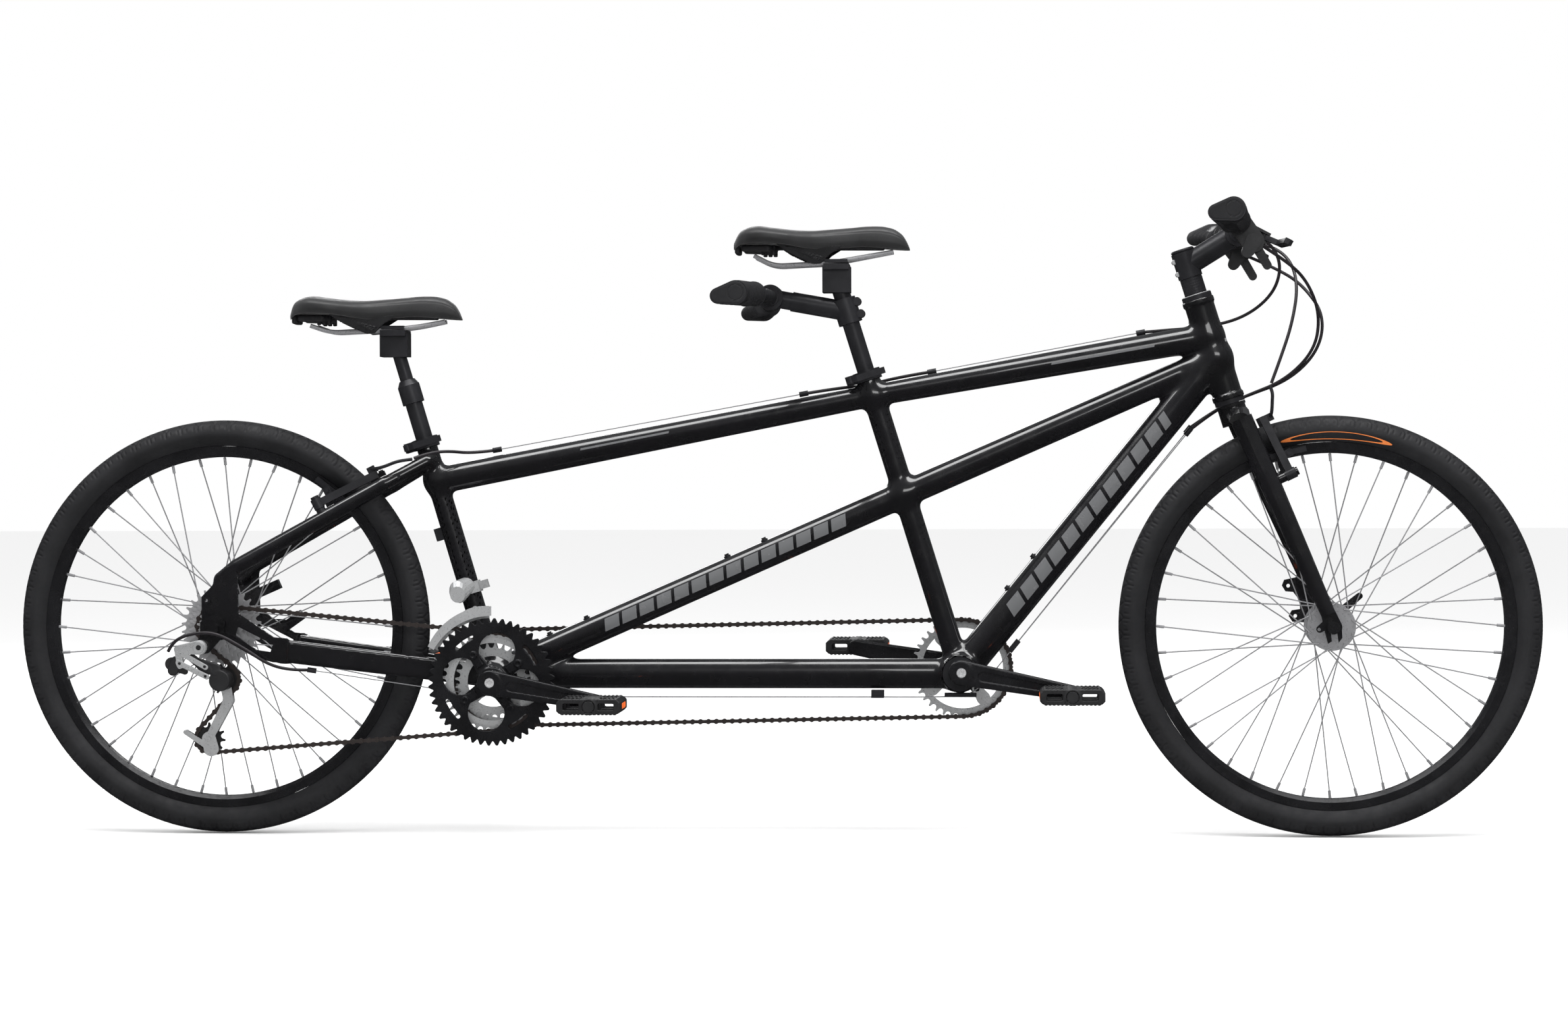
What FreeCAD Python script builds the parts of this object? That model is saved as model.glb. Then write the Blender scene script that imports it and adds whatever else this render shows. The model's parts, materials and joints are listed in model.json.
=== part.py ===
import FreeCAD
import Part
import math
import os

# Tandem bicycle, millimetres. +X is forward, +Y is the rider's left, +Z is up, Z = 0 is the ground.
# Points in the bicycle's middle plane are (x, z) pairs.

V = FreeCAD.Vector

# ---- driving dimensions ----------------------------------------------------------------------------
HALF_WHEELBASE = 872.0
TYRE_R = 328.0
TYRE_HALF_WIDTH = 23.5
RIM_OUTER_R = 287.0
RIM_INNER_R = 269.5
RIM_HALF_WIDTH = 13.5
SPOKES_PER_SIDE = 20
SPOKE_CROSS_DEG = 54.0
SPOKE_R = 1.0
FLANGE_HOLE_R = 33.0

HEAD_LOW = (716.4, 681.7)
HEAD_TOP = (668.0, 838.0)
HEAD_R = 23.0
HEAD_BORE_R = 18.0
STEERER_R = 14.3
RUN_GAP = 0.05
BODY_GAP = 0.5

CAPTAIN_SEAT_TOP = (150.4, 726.4)
STOKER_SEAT_TOP = (-550.5, 623.3)
FRONT_SHELL = (296.5, 254.5)
REAR_CRANK = (-437.0, 243.0)
FRONT_CRANK_RISE = 16.0
PITCH = 12.7
TIMING_RUN_LINKS = 58
SEATPOST_R = 13.6
CAPTAIN_TUBE_R = 17.5
STOKER_TUBE_R = 16.5
TUBE_WALL = 2.0
DOWN_TUBE_R = 25.75
TOP_SMALL_R = 16.4
TOP_BIG_R = 21.5
TOP_NECK_R = 19.0
DIAGONAL_REAR_R = 22.5
DIAGONAL_MIDDLE_R = 20.9
DIAGONAL_FRONT_R = 19.75
LUG_R = 20.5
LUG_HALF = 24.0
BOOM_HEIGHT = 47.0
BOOM_WIDTH = 36.0
BOOM_Z = 253.3
SHELL_HALF = 36.5
FRONT_SHELL_R = 29.2
REAR_SHELL_R = 23.0
SPINDLE_R = 8.55

DRIVE_Y = -49.0
TIMING_Y = 49.0
RING_STEP = 7.5
SPROCKET_STEP = 4.8
BIG_TEETH = 48
MIDDLE_TEETH = 38
SMALL_TEETH = 28
CASSETTE_TEETH = (11, 13, 15, 17, 20, 23, 26, 30)
USED_TEETH = 17
PULLEY_TEETH = 11
ROLLER_R = 3.85
GUIDE_PULLEY = (-862.0, 246.5)
CAGE_LENGTH = 97.0
CAGE_ANGLE_GUESS = -102.0

CRANK_ANGLE = -10.4
REAR_ARM = 170.0
FRONT_ARM = 172.5
ARM_INNER_Y = 68.0
ARM_OUTER_Y = 81.0
PEDAL_INNER_Y = 84.0
PEDAL_LENGTH = 94.0
DROPOUT_INNER_Y = 72.5
DROPOUT_OUTER_Y = 79.5

os.makedirs("parts", exist_ok=True)


# ---- small geometry helpers -------------------------------------------------------------------------
def at(p, y=0.0):
    return V(p[0], y, p[1])


def unit(p, q):
    length = math.hypot(q[0] - p[0], q[1] - p[1])
    return ((q[0] - p[0]) / length, (q[1] - p[1]) / length)


def along(p, direction, distance):
    return (p[0] + direction[0] * distance, p[1] + direction[1] * distance)


def polar(centre, radius, degrees):
    a = math.radians(degrees)
    return (centre[0] + radius * math.cos(a), centre[1] + radius * math.sin(a))


def cylinder(a, b, r):
    return Part.makeCylinder(r, (b - a).Length, a, b - a)


def cone(a, b, ra, rb):
    if abs(ra - rb) < 1e-6:
        return cylinder(a, b, ra)
    return Part.makeCone(ra, rb, (b - a).Length, a, b - a)


def ring(a, b, outer, inner):
    return cylinder(a, b, outer).cut(cylinder(a, b, inner))


def tube(a, b, ra, rb, wall):
    return cone(a, b, ra, rb).cut(cone(a, b, ra - wall, rb - wall))


def disc(centre, y0, y1, r):
    return cylinder(at(centre, y0), at(centre, y1), r)


def washer(centre, y0, y1, outer, inner):
    return disc(centre, y0, y1, outer).cut(disc(centre, y0, y1, inner))


def plate(points, y0, y1):
    corners = [at(p, y0) for p in points]
    face = Part.Face(Part.makePolygon(corners + corners[:1]))
    return face.extrude(V(0, y1 - y0, 0))


def link_face(p, q, rp, rq, y):
    length = math.hypot(q[0] - p[0], q[1] - p[1])
    heading = math.degrees(math.atan2(q[1] - p[1], q[0] - p[0]))
    spread = math.degrees(math.acos((rp - rq) / length))
    p1 = at(polar(p, rp, heading + spread), y)
    p2 = at(polar(p, rp, heading - spread), y)
    q1 = at(polar(q, rq, heading + spread), y)
    q2 = at(polar(q, rq, heading - spread), y)
    back = at(polar(p, rp, heading + 180.0), y)
    front = at(polar(q, rq, heading), y)
    edges = [
        Part.Arc(p1, back, p2).toShape(),
        Part.makeLine(p2, q2),
        Part.Arc(q2, front, q1).toShape(),
        Part.makeLine(q1, p1),
    ]
    return Part.Face(Part.Wire(edges))


def link(p, q, rp, rq, y0, y1):
    return link_face(p, q, rp, rq, y0).extrude(V(0, y1 - y0, 0))


def fuse(shapes):
    first = shapes[0]
    if len(shapes) == 1:
        return first
    return first.multiFuse(shapes[1:]).removeSplitter()


def cut(shape, tools):
    for tool in tools:
        shape = shape.cut(tool)
    return shape


def biggest(shape):
    return max(shape.Solids, key=lambda s: s.Volume)


def mirrored(shape):
    return shape.mirror(V(0, 0, 0), V(0, 1, 0))


def polygon_prism(points, direction):
    face = Part.Face(Part.makePolygon(points + points[:1]))
    return face.extrude(direction)


def oriented_box(centre, u, v, w, lu, lv, lw):
    corner = centre - u * (lu / 2) - v * (lv / 2) - w * (lw / 2)
    points = [corner, corner + u * lu, corner + u * lu + v * lv, corner + v * lv]
    return polygon_prism(points, w * lw)


def bent_wire(points):
    """Straight runs joined by tangent arcs, through the corner points given."""
    edges = []
    radii = []
    start = points[0]
    for i in range(1, len(points) - 1):
        before = points[i] - points[i - 1]
        after = points[i + 1] - points[i]
        half_turn = before.getAngle(after) / 2
        if half_turn < 0.01:
            continue
        radius = 0.45 * min(before.Length, after.Length) / math.tan(half_turn)
        back = radius * math.tan(half_turn)
        before.normalize()
        after.normalize()
        a = points[i] - before * back
        b = points[i] + after * back
        inward = (after - before).normalize()
        centre = points[i] + inward * (radius / math.cos(half_turn))
        middle = centre - inward * radius
        edges.append(Part.LineSegment(start, a).toShape())
        edges.append(Part.Arc(a, middle, b).toShape())
        radii.append(radius)
        start = b
    edges.append(Part.LineSegment(start, points[-1]).toShape())
    return Part.Wire(edges), radii


def cable(points, r, name=""):
    """A round cable or bent tube swept along straight runs and tangent arcs."""
    wire, radii = bent_wire(points)
    start = points[0]
    heading = points[1] - points[0]
    circle = Part.Wire(Part.makeCircle(r, start, heading))
    solid = wire.makePipeShell([circle], True, True)
    if name:
        ratio = solid.Volume / (wire.Length * math.pi * r * r)
        smallest = min(radii) if radii else 0
        print(f"{name}: length {wire.Length:.0f} mm, least radius {smallest:.0f} mm, fill {ratio:.3f}")
    return solid


def loft(sections):
    return Part.makeLoft([Part.makePolygon(s + s[:1]) for s in sections], True, True)


def oval_section(centre, u, v, ru, rv, sides=16):
    points = []
    for i in range(sides):
        a = 2 * math.pi * (i + 0.5) / sides
        points.append(centre + u * (ru * math.cos(a)) + v * (rv * math.sin(a)))
    return points


def save(node, solids):
    shape = Part.Compound([s for item in solids for s in item.Solids])
    shape.exportStep(f"parts/{node}.step")
    print(node, len(shape.Solids), f"{shape.Volume / 1000:.1f} cm3", shape.isValid())


# ---- chain and sprockets -----------------------------------------------------------------------------
TOOTH_HEIGHT = 3.4
PULLEY_TOOTH_HEIGHT = 2.8


def pitch_r(teeth):
    return PITCH / (2 * math.sin(math.pi / teeth))


def sprocket_blank(centre, teeth, phase, y0, y1, inner, tip=TOOTH_HEIGHT):
    """Toothed disc with roller seats; one seat's centre lies at the phase angle."""
    rp = pitch_r(teeth)
    seat = ROLLER_R + 0.25
    step = 360.0 / teeth
    edges = []
    first = None
    last = None
    for k in range(teeth):
        angle = phase + k * step
        c = polar(centre, rp, angle)
        a = at(polar(c, seat, angle + 180 + 62), y0)
        m = at(polar(c, seat, angle + 180), y0)
        b = at(polar(c, seat, angle + 180 - 62), y0)
        tip_a = at(polar(centre, rp + tip, angle - 0.40 * step), y0)
        tip_b = at(polar(centre, rp + tip, angle + 0.40 * step), y0)
        if last is None:
            first = tip_a
        else:
            edges.append(Part.makeLine(last, tip_a))
        edges.append(Part.makeLine(tip_a, a))
        edges.append(Part.Arc(a, m, b).toShape())
        edges.append(Part.makeLine(b, tip_b))
        last = tip_b
    edges.append(Part.makeLine(last, first))
    body = Part.Face(Part.Wire(edges)).extrude(V(0, y1 - y0, 0))
    return body.cut(disc(centre, y0, y1, inner))


def tangent_run(c1, r1, s1, c2, r2, s2):
    """Straight run between two circles; s is +1 for counter-clockwise travel and -1 for clockwise."""
    length = math.hypot(c2[0] - c1[0], c2[1] - c1[1])
    heading = math.atan2(c2[1] - c1[1], c2[0] - c1[0])
    heading -= math.asin((s2 * r2 - s1 * r1) / length)
    n = (-math.sin(heading), math.cos(heading))
    return along(c1, n, -s1 * r1), along(c2, n, -s2 * r2)


class Loop:
    """Closed chain path round sprockets (centre, radius, sense)."""

    def __init__(self, wheels):
        self.parts = []
        self.length = 0.0
        runs = []
        count = len(wheels)
        for i in range(count):
            c1, r1, s1 = wheels[i]
            c2, r2, s2 = wheels[(i + 1) % count]
            runs.append(tangent_run(c1, r1, s1, c2, r2, s2))
        for i in range(count):
            a, b = runs[i]
            self.add("line", math.hypot(b[0] - a[0], b[1] - a[1]), (a, unit(a, b)), -1)
            c, r, s = wheels[(i + 1) % count]
            leave = runs[(i + 1) % count][0]
            start = math.atan2(b[1] - c[1], b[0] - c[0])
            end = math.atan2(leave[1] - c[1], leave[0] - c[0])
            turn = ((end - start) * s) % (2 * math.pi)
            self.add("arc", turn * r, (c, r, s, start), (i + 1) % count)

    def add(self, kind, length, data, wheel):
        self.parts.append((kind, self.length, length, data, wheel))
        self.length += length

    def point(self, s):
        s = s % self.length
        for kind, begin, length, data, wheel in self.parts:
            if s <= begin + length:
                break
        if kind == "line":
            return along(data[0], data[1], s - begin), -1
        c, r, sense, start = data
        return polar(c, r, math.degrees(start + sense * (s - begin) / r)), wheel

    def walk(self, start):
        """Roller centres one pitch apart, and what is left over at the end of the loop."""
        s = start
        rollers = [self.point(s)]
        while True:
            here = rollers[-1][0]
            ahead = s + PITCH
            for _ in range(12):
                q = self.point(ahead)[0]
                ahead += PITCH - math.hypot(q[0] - here[0], q[1] - here[1])
            if ahead > start + self.length - 0.5 * PITCH:
                break
            s = ahead
            rollers.append(self.point(s))
        first = rollers[0][0]
        last = rollers[-1][0]
        return rollers, math.hypot(first[0] - last[0], first[1] - last[1]) - PITCH

    def phase(self, rollers, wheel, centre):
        """Polar angle of a roller that lies on the given sprocket."""
        on_wheel = [p for p, w in rollers if w == wheel]
        p = on_wheel[len(on_wheel) // 2]
        return math.degrees(math.atan2(p[1] - centre[1], p[0] - centre[0]))


def outline(p, q, y, r, waist):
    """Side plate of a chain link: two round ends and a narrower waist."""
    mid = ((p[0] + q[0]) / 2, 0.0)
    corner = r * math.cos(math.radians(40))
    rise = r * math.sin(math.radians(40))
    edges = [
        Part.Arc(V(p[0] + corner, y, rise), V(p[0] - r, y, 0), V(p[0] + corner, y, -rise)).toShape(),
        Part.Arc(V(p[0] + corner, y, -rise), V(mid[0], y, -waist), V(q[0] - corner, y, -rise)).toShape(),
        Part.Arc(V(q[0] - corner, y, -rise), V(q[0] + r, y, 0), V(q[0] - corner, y, rise)).toShape(),
        Part.Arc(V(q[0] - corner, y, rise), V(mid[0], y, waist), V(p[0] + corner, y, rise)).toShape(),
    ]
    return Part.Face(Part.Wire(edges))


def chain_templates():
    p = (0.0, 0.0)
    q = (PITCH, 0.0)
    inner = []
    for y in (-2.2, 1.3):
        inner.append(outline(p, q, y, 4.1, 2.5).extrude(V(0, 0.9, 0)))
    for c in (p, q):
        inner.append(disc(c, -1.3, 1.3, ROLLER_R))
    inner = cut(fuse(inner), [disc(c, -3, 3, 1.85) for c in (p, q)])
    outer = []
    for y in (-3.25, 2.35):
        outer.append(outline(p, q, y, 4.1, 2.5).extrude(V(0, 0.9, 0)))
    for c in (p, q):
        outer.append(disc(c, -3.5, 3.5, 1.75))
    return inner, fuse(outer)


def lay_chain(rollers, y):
    inner, outer = chain_templates()
    links = []
    count = len(rollers)
    for i in range(count):
        p = rollers[i][0]
        q = rollers[(i + 1) % count][0]
        heading = math.degrees(math.atan2(q[1] - p[1], q[0] - p[0]))
        piece = (inner if i % 2 == 0 else outer).copy()
        piece.Placement = FreeCAD.Placement(at(p, y), FreeCAD.Rotation(V(0, 1, 0), -heading))
        links.append(piece)
    return links


FRONT_CRANK = (
    REAR_CRANK[0] + math.sqrt((TIMING_RUN_LINKS * PITCH) ** 2 - FRONT_CRANK_RISE**2),
    REAR_CRANK[1] + FRONT_CRANK_RISE,
)
REAR_AXLE = (-HALF_WHEELBASE, TYRE_R)
FRONT_AXLE = (HALF_WHEELBASE, TYRE_R)


def drive_loop(cage_angle):
    tension = polar(GUIDE_PULLEY, CAGE_LENGTH, cage_angle)
    wheels = [
        (REAR_CRANK, pitch_r(MIDDLE_TEETH), -1),
        (tension, pitch_r(PULLEY_TEETH), -1),
        (GUIDE_PULLEY, pitch_r(PULLEY_TEETH), 1),
        (REAR_AXLE, pitch_r(USED_TEETH), -1),
    ]
    return Loop(wheels)


def solve_cage_angle():
    """Cage angle at which the drive chain closes on a whole, even number of links."""
    target = 2 * round(drive_loop(CAGE_ANGLE_GUESS).length / PITCH / 2)
    low = CAGE_ANGLE_GUESS - 22
    high = CAGE_ANGLE_GUESS + 22

    def links(angle):
        rollers, gap = drive_loop(angle).walk(0.0)
        return len(rollers) + gap / PITCH - target

    rising = links(high) > links(low)
    for _ in range(40):
        mid = (low + high) / 2
        if (links(mid) > 0) == rising:
            high = mid
        else:
            low = mid
    return (low + high) / 2


CAGE_ANGLE = solve_cage_angle()
DRIVE = drive_loop(CAGE_ANGLE)
DRIVE_ROLLERS, DRIVE_GAP = DRIVE.walk(0.0)
TENSION_PULLEY = polar(GUIDE_PULLEY, CAGE_LENGTH, CAGE_ANGLE)
TIMING = Loop([(REAR_CRANK, pitch_r(MIDDLE_TEETH), -1), (FRONT_CRANK, pitch_r(MIDDLE_TEETH), -1)])
TIMING_ROLLERS, TIMING_GAP = TIMING.walk(0.0)
print("cage angle", CAGE_ANGLE, "tension pulley", TENSION_PULLEY, "front crank", FRONT_CRANK)
print("drive links", len(DRIVE_ROLLERS), DRIVE_GAP, "timing links", len(TIMING_ROLLERS), TIMING_GAP)


# ---- frame --------------------------------------------------------------------------------------------
HEAD_AXIS = unit(HEAD_LOW, HEAD_TOP)
CAPTAIN_AXIS = unit(FRONT_SHELL, CAPTAIN_SEAT_TOP)
STOKER_AXIS = unit(REAR_CRANK, STOKER_SEAT_TOP)
TOP_AT_CAPTAIN = (160.7, 690.5)
TOP_AT_HEAD = (686.3, 780.1)
TOP_AT_STOKER = (-531.0, 558.7)
DIAGONAL_REAR = (-446.0, 249.6)
DIAGONAL_MIDDLE = (207.5, 534.9)
LOWER_AT_HEAD = (696.3, 746.6)

head_solid = cylinder(at(HEAD_LOW), at(HEAD_TOP), HEAD_R)
front_shell_solid = disc(FRONT_SHELL, -SHELL_HALF, SHELL_HALF, FRONT_SHELL_R)
rear_shell_solid = disc(REAR_CRANK, -SHELL_HALF, SHELL_HALF, REAR_SHELL_R)
captain_plain = cylinder(at(FRONT_SHELL), at(CAPTAIN_SEAT_TOP), CAPTAIN_TUBE_R)
lug_axis = unit(FRONT_SHELL, CAPTAIN_SEAT_TOP)
lug_low = along(TOP_AT_CAPTAIN, lug_axis, -LUG_HALF)
lug_high = along(TOP_AT_CAPTAIN, lug_axis, LUG_HALF - 4.0)
seat_lug = cylinder(at(lug_low), at(lug_high), LUG_R)
captain_solid = captain_plain.fuse(seat_lug)
stoker_solid = cylinder(at(REAR_CRANK), at(STOKER_SEAT_TOP), STOKER_TUBE_R)
down_solid = cylinder(at(FRONT_SHELL), at(LOWER_AT_HEAD), DOWN_TUBE_R)
TOP_NECK = along(TOP_AT_HEAD, unit(TOP_AT_HEAD, TOP_AT_CAPTAIN), 45.0)


def top_front_tube(inset):
    long_cone = cone(at(TOP_AT_CAPTAIN), at(TOP_NECK), TOP_SMALL_R - inset, TOP_BIG_R - inset)
    neck = cone(at(TOP_NECK), at(TOP_AT_HEAD), TOP_BIG_R - inset, TOP_NECK_R - inset)
    return long_cone.fuse(neck)


top_front_solid = top_front_tube(0.0)
top_rear_solid = cone(at(TOP_AT_CAPTAIN), at(TOP_AT_STOKER), TOP_SMALL_R, TOP_BIG_R)


def boom_shell(width, height):
    x0 = REAR_CRANK[0]
    sections = []
    for x in (x0, FRONT_SHELL[0]):
        centre = V(x, 0, BOOM_Z)
        sections.append(oval_section(centre, V(0, 1, 0), V(0, 0, 1), width / 2, height / 2, 24))
    return loft(sections)


boom_solid = boom_shell(BOOM_WIDTH, BOOM_HEIGHT)

head_tube = [
    ring(at(HEAD_LOW), at(HEAD_TOP), HEAD_R, HEAD_BORE_R),
]
for end, sense in ((HEAD_LOW, 1), (HEAD_TOP, -1)):
    far = along(end, HEAD_AXIS, 9.0 * sense)
    head_tube.append(ring(at(end), at(far), HEAD_R + 2.0, HEAD_BORE_R))
head_tube = [fuse(head_tube)]
head_cutter = head_tube[0].fuse(head_solid)

seat_bore = SEATPOST_R + RUN_GAP
captain_tube = captain_solid.cut(cylinder(at(FRONT_SHELL), at(CAPTAIN_SEAT_TOP), seat_bore))
stoker_tube = ring(at(REAR_CRANK), at(STOKER_SEAT_TOP), STOKER_TUBE_R, seat_bore)
save("head_tube", head_tube)
save("seat_tubes", [captain_tube.cut(front_shell_solid), stoker_tube.cut(rear_shell_solid)])

boom = boom_solid.cut(boom_shell(BOOM_WIDTH - 2 * TUBE_WALL, BOOM_HEIGHT - 2 * TUBE_WALL))
boom = cut(boom, [front_shell_solid, rear_shell_solid, captain_solid, stoker_solid])
front_shell = washer(FRONT_SHELL, -SHELL_HALF, SHELL_HALF, FRONT_SHELL_R, 27.0)
rear_shell = washer(REAR_CRANK, -SHELL_HALF, SHELL_HALF, REAR_SHELL_R, 18.0)
save("boom_tube", [biggest(boom), front_shell, rear_shell])

down = tube(at(FRONT_SHELL), at(LOWER_AT_HEAD), DOWN_TUBE_R, DOWN_TUBE_R, TUBE_WALL)
down = cut(down, [front_shell_solid, head_cutter, captain_solid, boom_solid])
save("down_tube", [biggest(down)])

top_front = top_front_solid.cut(top_front_tube(TUBE_WALL))
top_rear = tube(at(TOP_AT_CAPTAIN), at(TOP_AT_STOKER), TOP_SMALL_R, TOP_BIG_R, TUBE_WALL)
top_front = biggest(cut(top_front, [captain_solid, head_cutter, down_solid]))
top_rear = biggest(cut(top_rear, [captain_solid, stoker_solid]))
save("top_tubes", [top_front, top_rear])

diagonal_rear_solid = cone(at(DIAGONAL_REAR), at(DIAGONAL_MIDDLE), DIAGONAL_REAR_R, DIAGONAL_MIDDLE_R)
diagonal_front_solid = cone(at(DIAGONAL_MIDDLE), at(LOWER_AT_HEAD), DIAGONAL_MIDDLE_R, DIAGONAL_FRONT_R)
diagonal_rear = tube(at(DIAGONAL_REAR), at(DIAGONAL_MIDDLE), DIAGONAL_REAR_R, DIAGONAL_MIDDLE_R, TUBE_WALL)
diagonal_rear = cut(diagonal_rear, [rear_shell_solid, stoker_solid, boom_solid, captain_solid])
diagonal_front = tube(at(DIAGONAL_MIDDLE), at(LOWER_AT_HEAD), DIAGONAL_MIDDLE_R, DIAGONAL_FRONT_R, TUBE_WALL)
diagonal_front = cut(diagonal_front, [captain_solid, head_cutter, down_solid, top_front_solid])
save("diagonal_tubes", [biggest(diagonal_rear), biggest(diagonal_front)])

# Rear triangle. Outlines are for the right side; the left side mirrors them.
DROPOUT_OUTLINE = [
    (-892, 378), (-850, 421), (-836, 410), (-834, 352), (-778, 314), (-758, 312),
    (-758, 274), (-779, 275), (-807, 282), (-857, 311), (-880, 306), (-892, 312),
]
DROPOUT_WINDOW = [(-834, 331), (-779, 303), (-783, 291), (-805, 294), (-838, 317)]
EYELET = (-884.0, 372.5)
EYELET_R = 2.6
AXLE_R = 5.0
dropout_blank = plate(DROPOUT_OUTLINE, -DROPOUT_OUTER_Y, -DROPOUT_INNER_Y)
dropout_boss = disc(EYELET, -DROPOUT_OUTER_Y - 2.0, -DROPOUT_INNER_Y, 6.5)
dropout = fuse([dropout_blank, dropout_boss])
dropout = cut(dropout, [
    plate(DROPOUT_WINDOW, -DROPOUT_OUTER_Y, -DROPOUT_INNER_Y),
    disc(EYELET, -90, -60, EYELET_R),
    disc(REAR_AXLE, -90, -60, AXLE_R),
])
HANGER_OUTLINE = [
    (-893, 338), (-884, 347), (-870, 350), (-858, 343), (-855, 318), (-868, 303),
    (-880, 290), (-893, 287), (-904, 294), (-903, 304), (-894, 314),
]
HANGER_BOLT = (-893.0, 299.0)
HANGER_Y = (-84.5, -79.5)
hanger = plate(HANGER_OUTLINE, *HANGER_Y)
hanger = cut(hanger, [disc(REAR_AXLE, -90, -60, AXLE_R), disc(HANGER_BOLT, -90, -60, 5.0)])
hanger_screw = disc((-858.5, 335.5), -87.0, -84.5, 5.2)
hanger_screw = hanger_screw.cut(disc((-858.5, 335.5), -87.0, -85.2, 2.5))

disc_posts = []
for foot, tip in (((-842, 375), (-803, 392)), ((-800, 318), (-752, 352))):
    d = unit(foot, tip)
    centre = along(foot, d, 26.0)
    post = oriented_box(at(centre, 70.0), V(d[0], 0, d[1]), V(0, 1, 0), V(-d[1], 0, d[0]), 40, 13, 15)
    disc_posts.append(post.cut(mirrored(dropout_blank)))

axle = fuse([
    disc(REAR_AXLE, -89, 92, AXLE_R),
    disc(REAR_AXLE, -DROPOUT_INNER_Y, -68.0, 9.0),
    disc(REAR_AXLE, 67.5, DROPOUT_INNER_Y, 9.0),
    disc(REAR_AXLE, -93.0, -84.5, 9.0),
    disc(REAR_AXLE, DROPOUT_OUTER_Y, 92.0, 9.5),
])
rear_skewer = link(REAR_AXLE, (-800.0, 330.0), 7.0, 5.0, 92.0, 98.0)
save("rear_dropouts", [dropout, mirrored(dropout), hanger, hanger_screw, axle, rear_skewer] + disc_posts)


def stay_section(x, y, z, half_width, half_height):
    c = 0.35
    return [
        V(x, y - half_width, z - half_height * (1 - c)), V(x, y - half_width, z + half_height * (1 - c)),
        V(x, y - half_width * (1 - c), z + half_height), V(x, y + half_width * (1 - c), z + half_height),
        V(x, y + half_width, z + half_height * (1 - c)), V(x, y + half_width, z - half_height * (1 - c)),
        V(x, y + half_width * (1 - c), z - half_height), V(x, y - half_width * (1 - c), z - half_height),
    ]


stay_parts = []
for half in (
    ((-446, -20, 250.5, 10, 18), (-520, -35, 260.5, 9, 17.5)),
    ((-520, -35, 260.5, 9, 17.5), (-573, -41.5, 267.5, 9, 17.5)),
    ((-573, -41.5, 267.5, 9, 17.5), (-770, -67.5, 293, 9, 18.5)),
):
    stay_parts.append(loft([stay_section(*s) for s in half]))
stay_cutters = [rear_shell_solid, dropout_blank, stoker_solid, boom_solid, diagonal_rear_solid]
chainstay = biggest(cut(fuse(stay_parts), stay_cutters))
save("chainstays", [chainstay, mirrored(chainstay)])

SEATSTAY_R = 12.0
seatstay_points = [
    V(-545, -17, 588.5), V(-606, -41, 554.5), V(-660, -47, 524.5), V(-838, -68.5, 425.0), V(-862, -71, 405.0),
]
seatstay = cable(seatstay_points, SEATSTAY_R, "seatstay")
seatstay = biggest(cut(seatstay, [stoker_solid, dropout_blank, top_rear_solid]))
stay_bridge = cylinder(V(-610, -38, 553), V(-610, 38, 553), 7.0)
stay_bridge = stay_bridge.cut(seatstay).cut(mirrored(seatstay))
save("seatstays", [seatstay, mirrored(seatstay)])

# ---- cranks, bearings, chainrings and pedals ------------------------------------------------------------
RING_HALF = 0.9
RING_BODY_HALF = 1.6
BIG_BOLT_R = 52.0
SMALL_BOLT_R = 32.0
TIMING_BOLT_R = 40.0
BOLT_R = 4.5
SPIDER_ANGLES = [CRANK_ANGLE + 45.0 + 90.0 * k for k in range(4)]
SPINDLE_BORE_R = SPINDLE_R + RUN_GAP
CUP_HALF = 39.5

bearing_cups = []
for centre in (REAR_CRANK, FRONT_CRANK):
    for side in (-1, 1):
        near = min(side * (SHELL_HALF - 16), side * SHELL_HALF)
        inner_cup = disc(centre, near, near + 16.0, 18.0)
        flange_start = min(side * SHELL_HALF, side * CUP_HALF)
        flange = disc(centre, flange_start, flange_start + CUP_HALF - SHELL_HALF, 20.5)
        cup = inner_cup.fuse(flange)
        if centre is FRONT_CRANK:
            eccentric = disc(FRONT_SHELL, near, near + 16.0, 27.0)
            cup = cup.fuse(eccentric)
        bearing_cups.append(cup.removeSplitter().cut(disc(centre, -50, 50, SPINDLE_BORE_R)))
STEERER_BORE_R = STEERER_R + RUN_GAP
for end, sense in ((HEAD_LOW, 1), (HEAD_TOP, -1)):
    outer_end = along(end, HEAD_AXIS, -7.0 * sense)
    inner_end = along(end, HEAD_AXIS, 12.0 * sense)
    cap = cylinder(at(outer_end), at(end), 23.5)
    stem_part = cylinder(at(end), at(inner_end), HEAD_BORE_R)
    body = cap.fuse(stem_part).removeSplitter()
    bearing_cups.append(body.cut(cylinder(at(outer_end), at(inner_end), STEERER_BORE_R)))
save("bearing_cups", bearing_cups)


def chainring(centre, teeth, phase, y, inner):
    blank = sprocket_blank(centre, teeth, phase, y - RING_HALF, y + RING_HALF, inner)
    body = washer(centre, y - RING_BODY_HALF, y + RING_BODY_HALF, pitch_r(teeth) - 7.0, inner)
    return blank.fuse(body)


def tabs(centre, y, bolt_r, reach, r1, r2, angles):
    pieces = []
    for a in angles:
        p = polar(centre, bolt_r, a)
        q = polar(centre, reach, a)
        pieces.append(link(p, q, r1, r2, y - RING_BODY_HALF, y + RING_BODY_HALF))
    return pieces


def bolt_holes(centre, bolt_r, angles):
    return [disc(polar(centre, bolt_r, a), -90, 90, BOLT_R) for a in angles]


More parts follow.
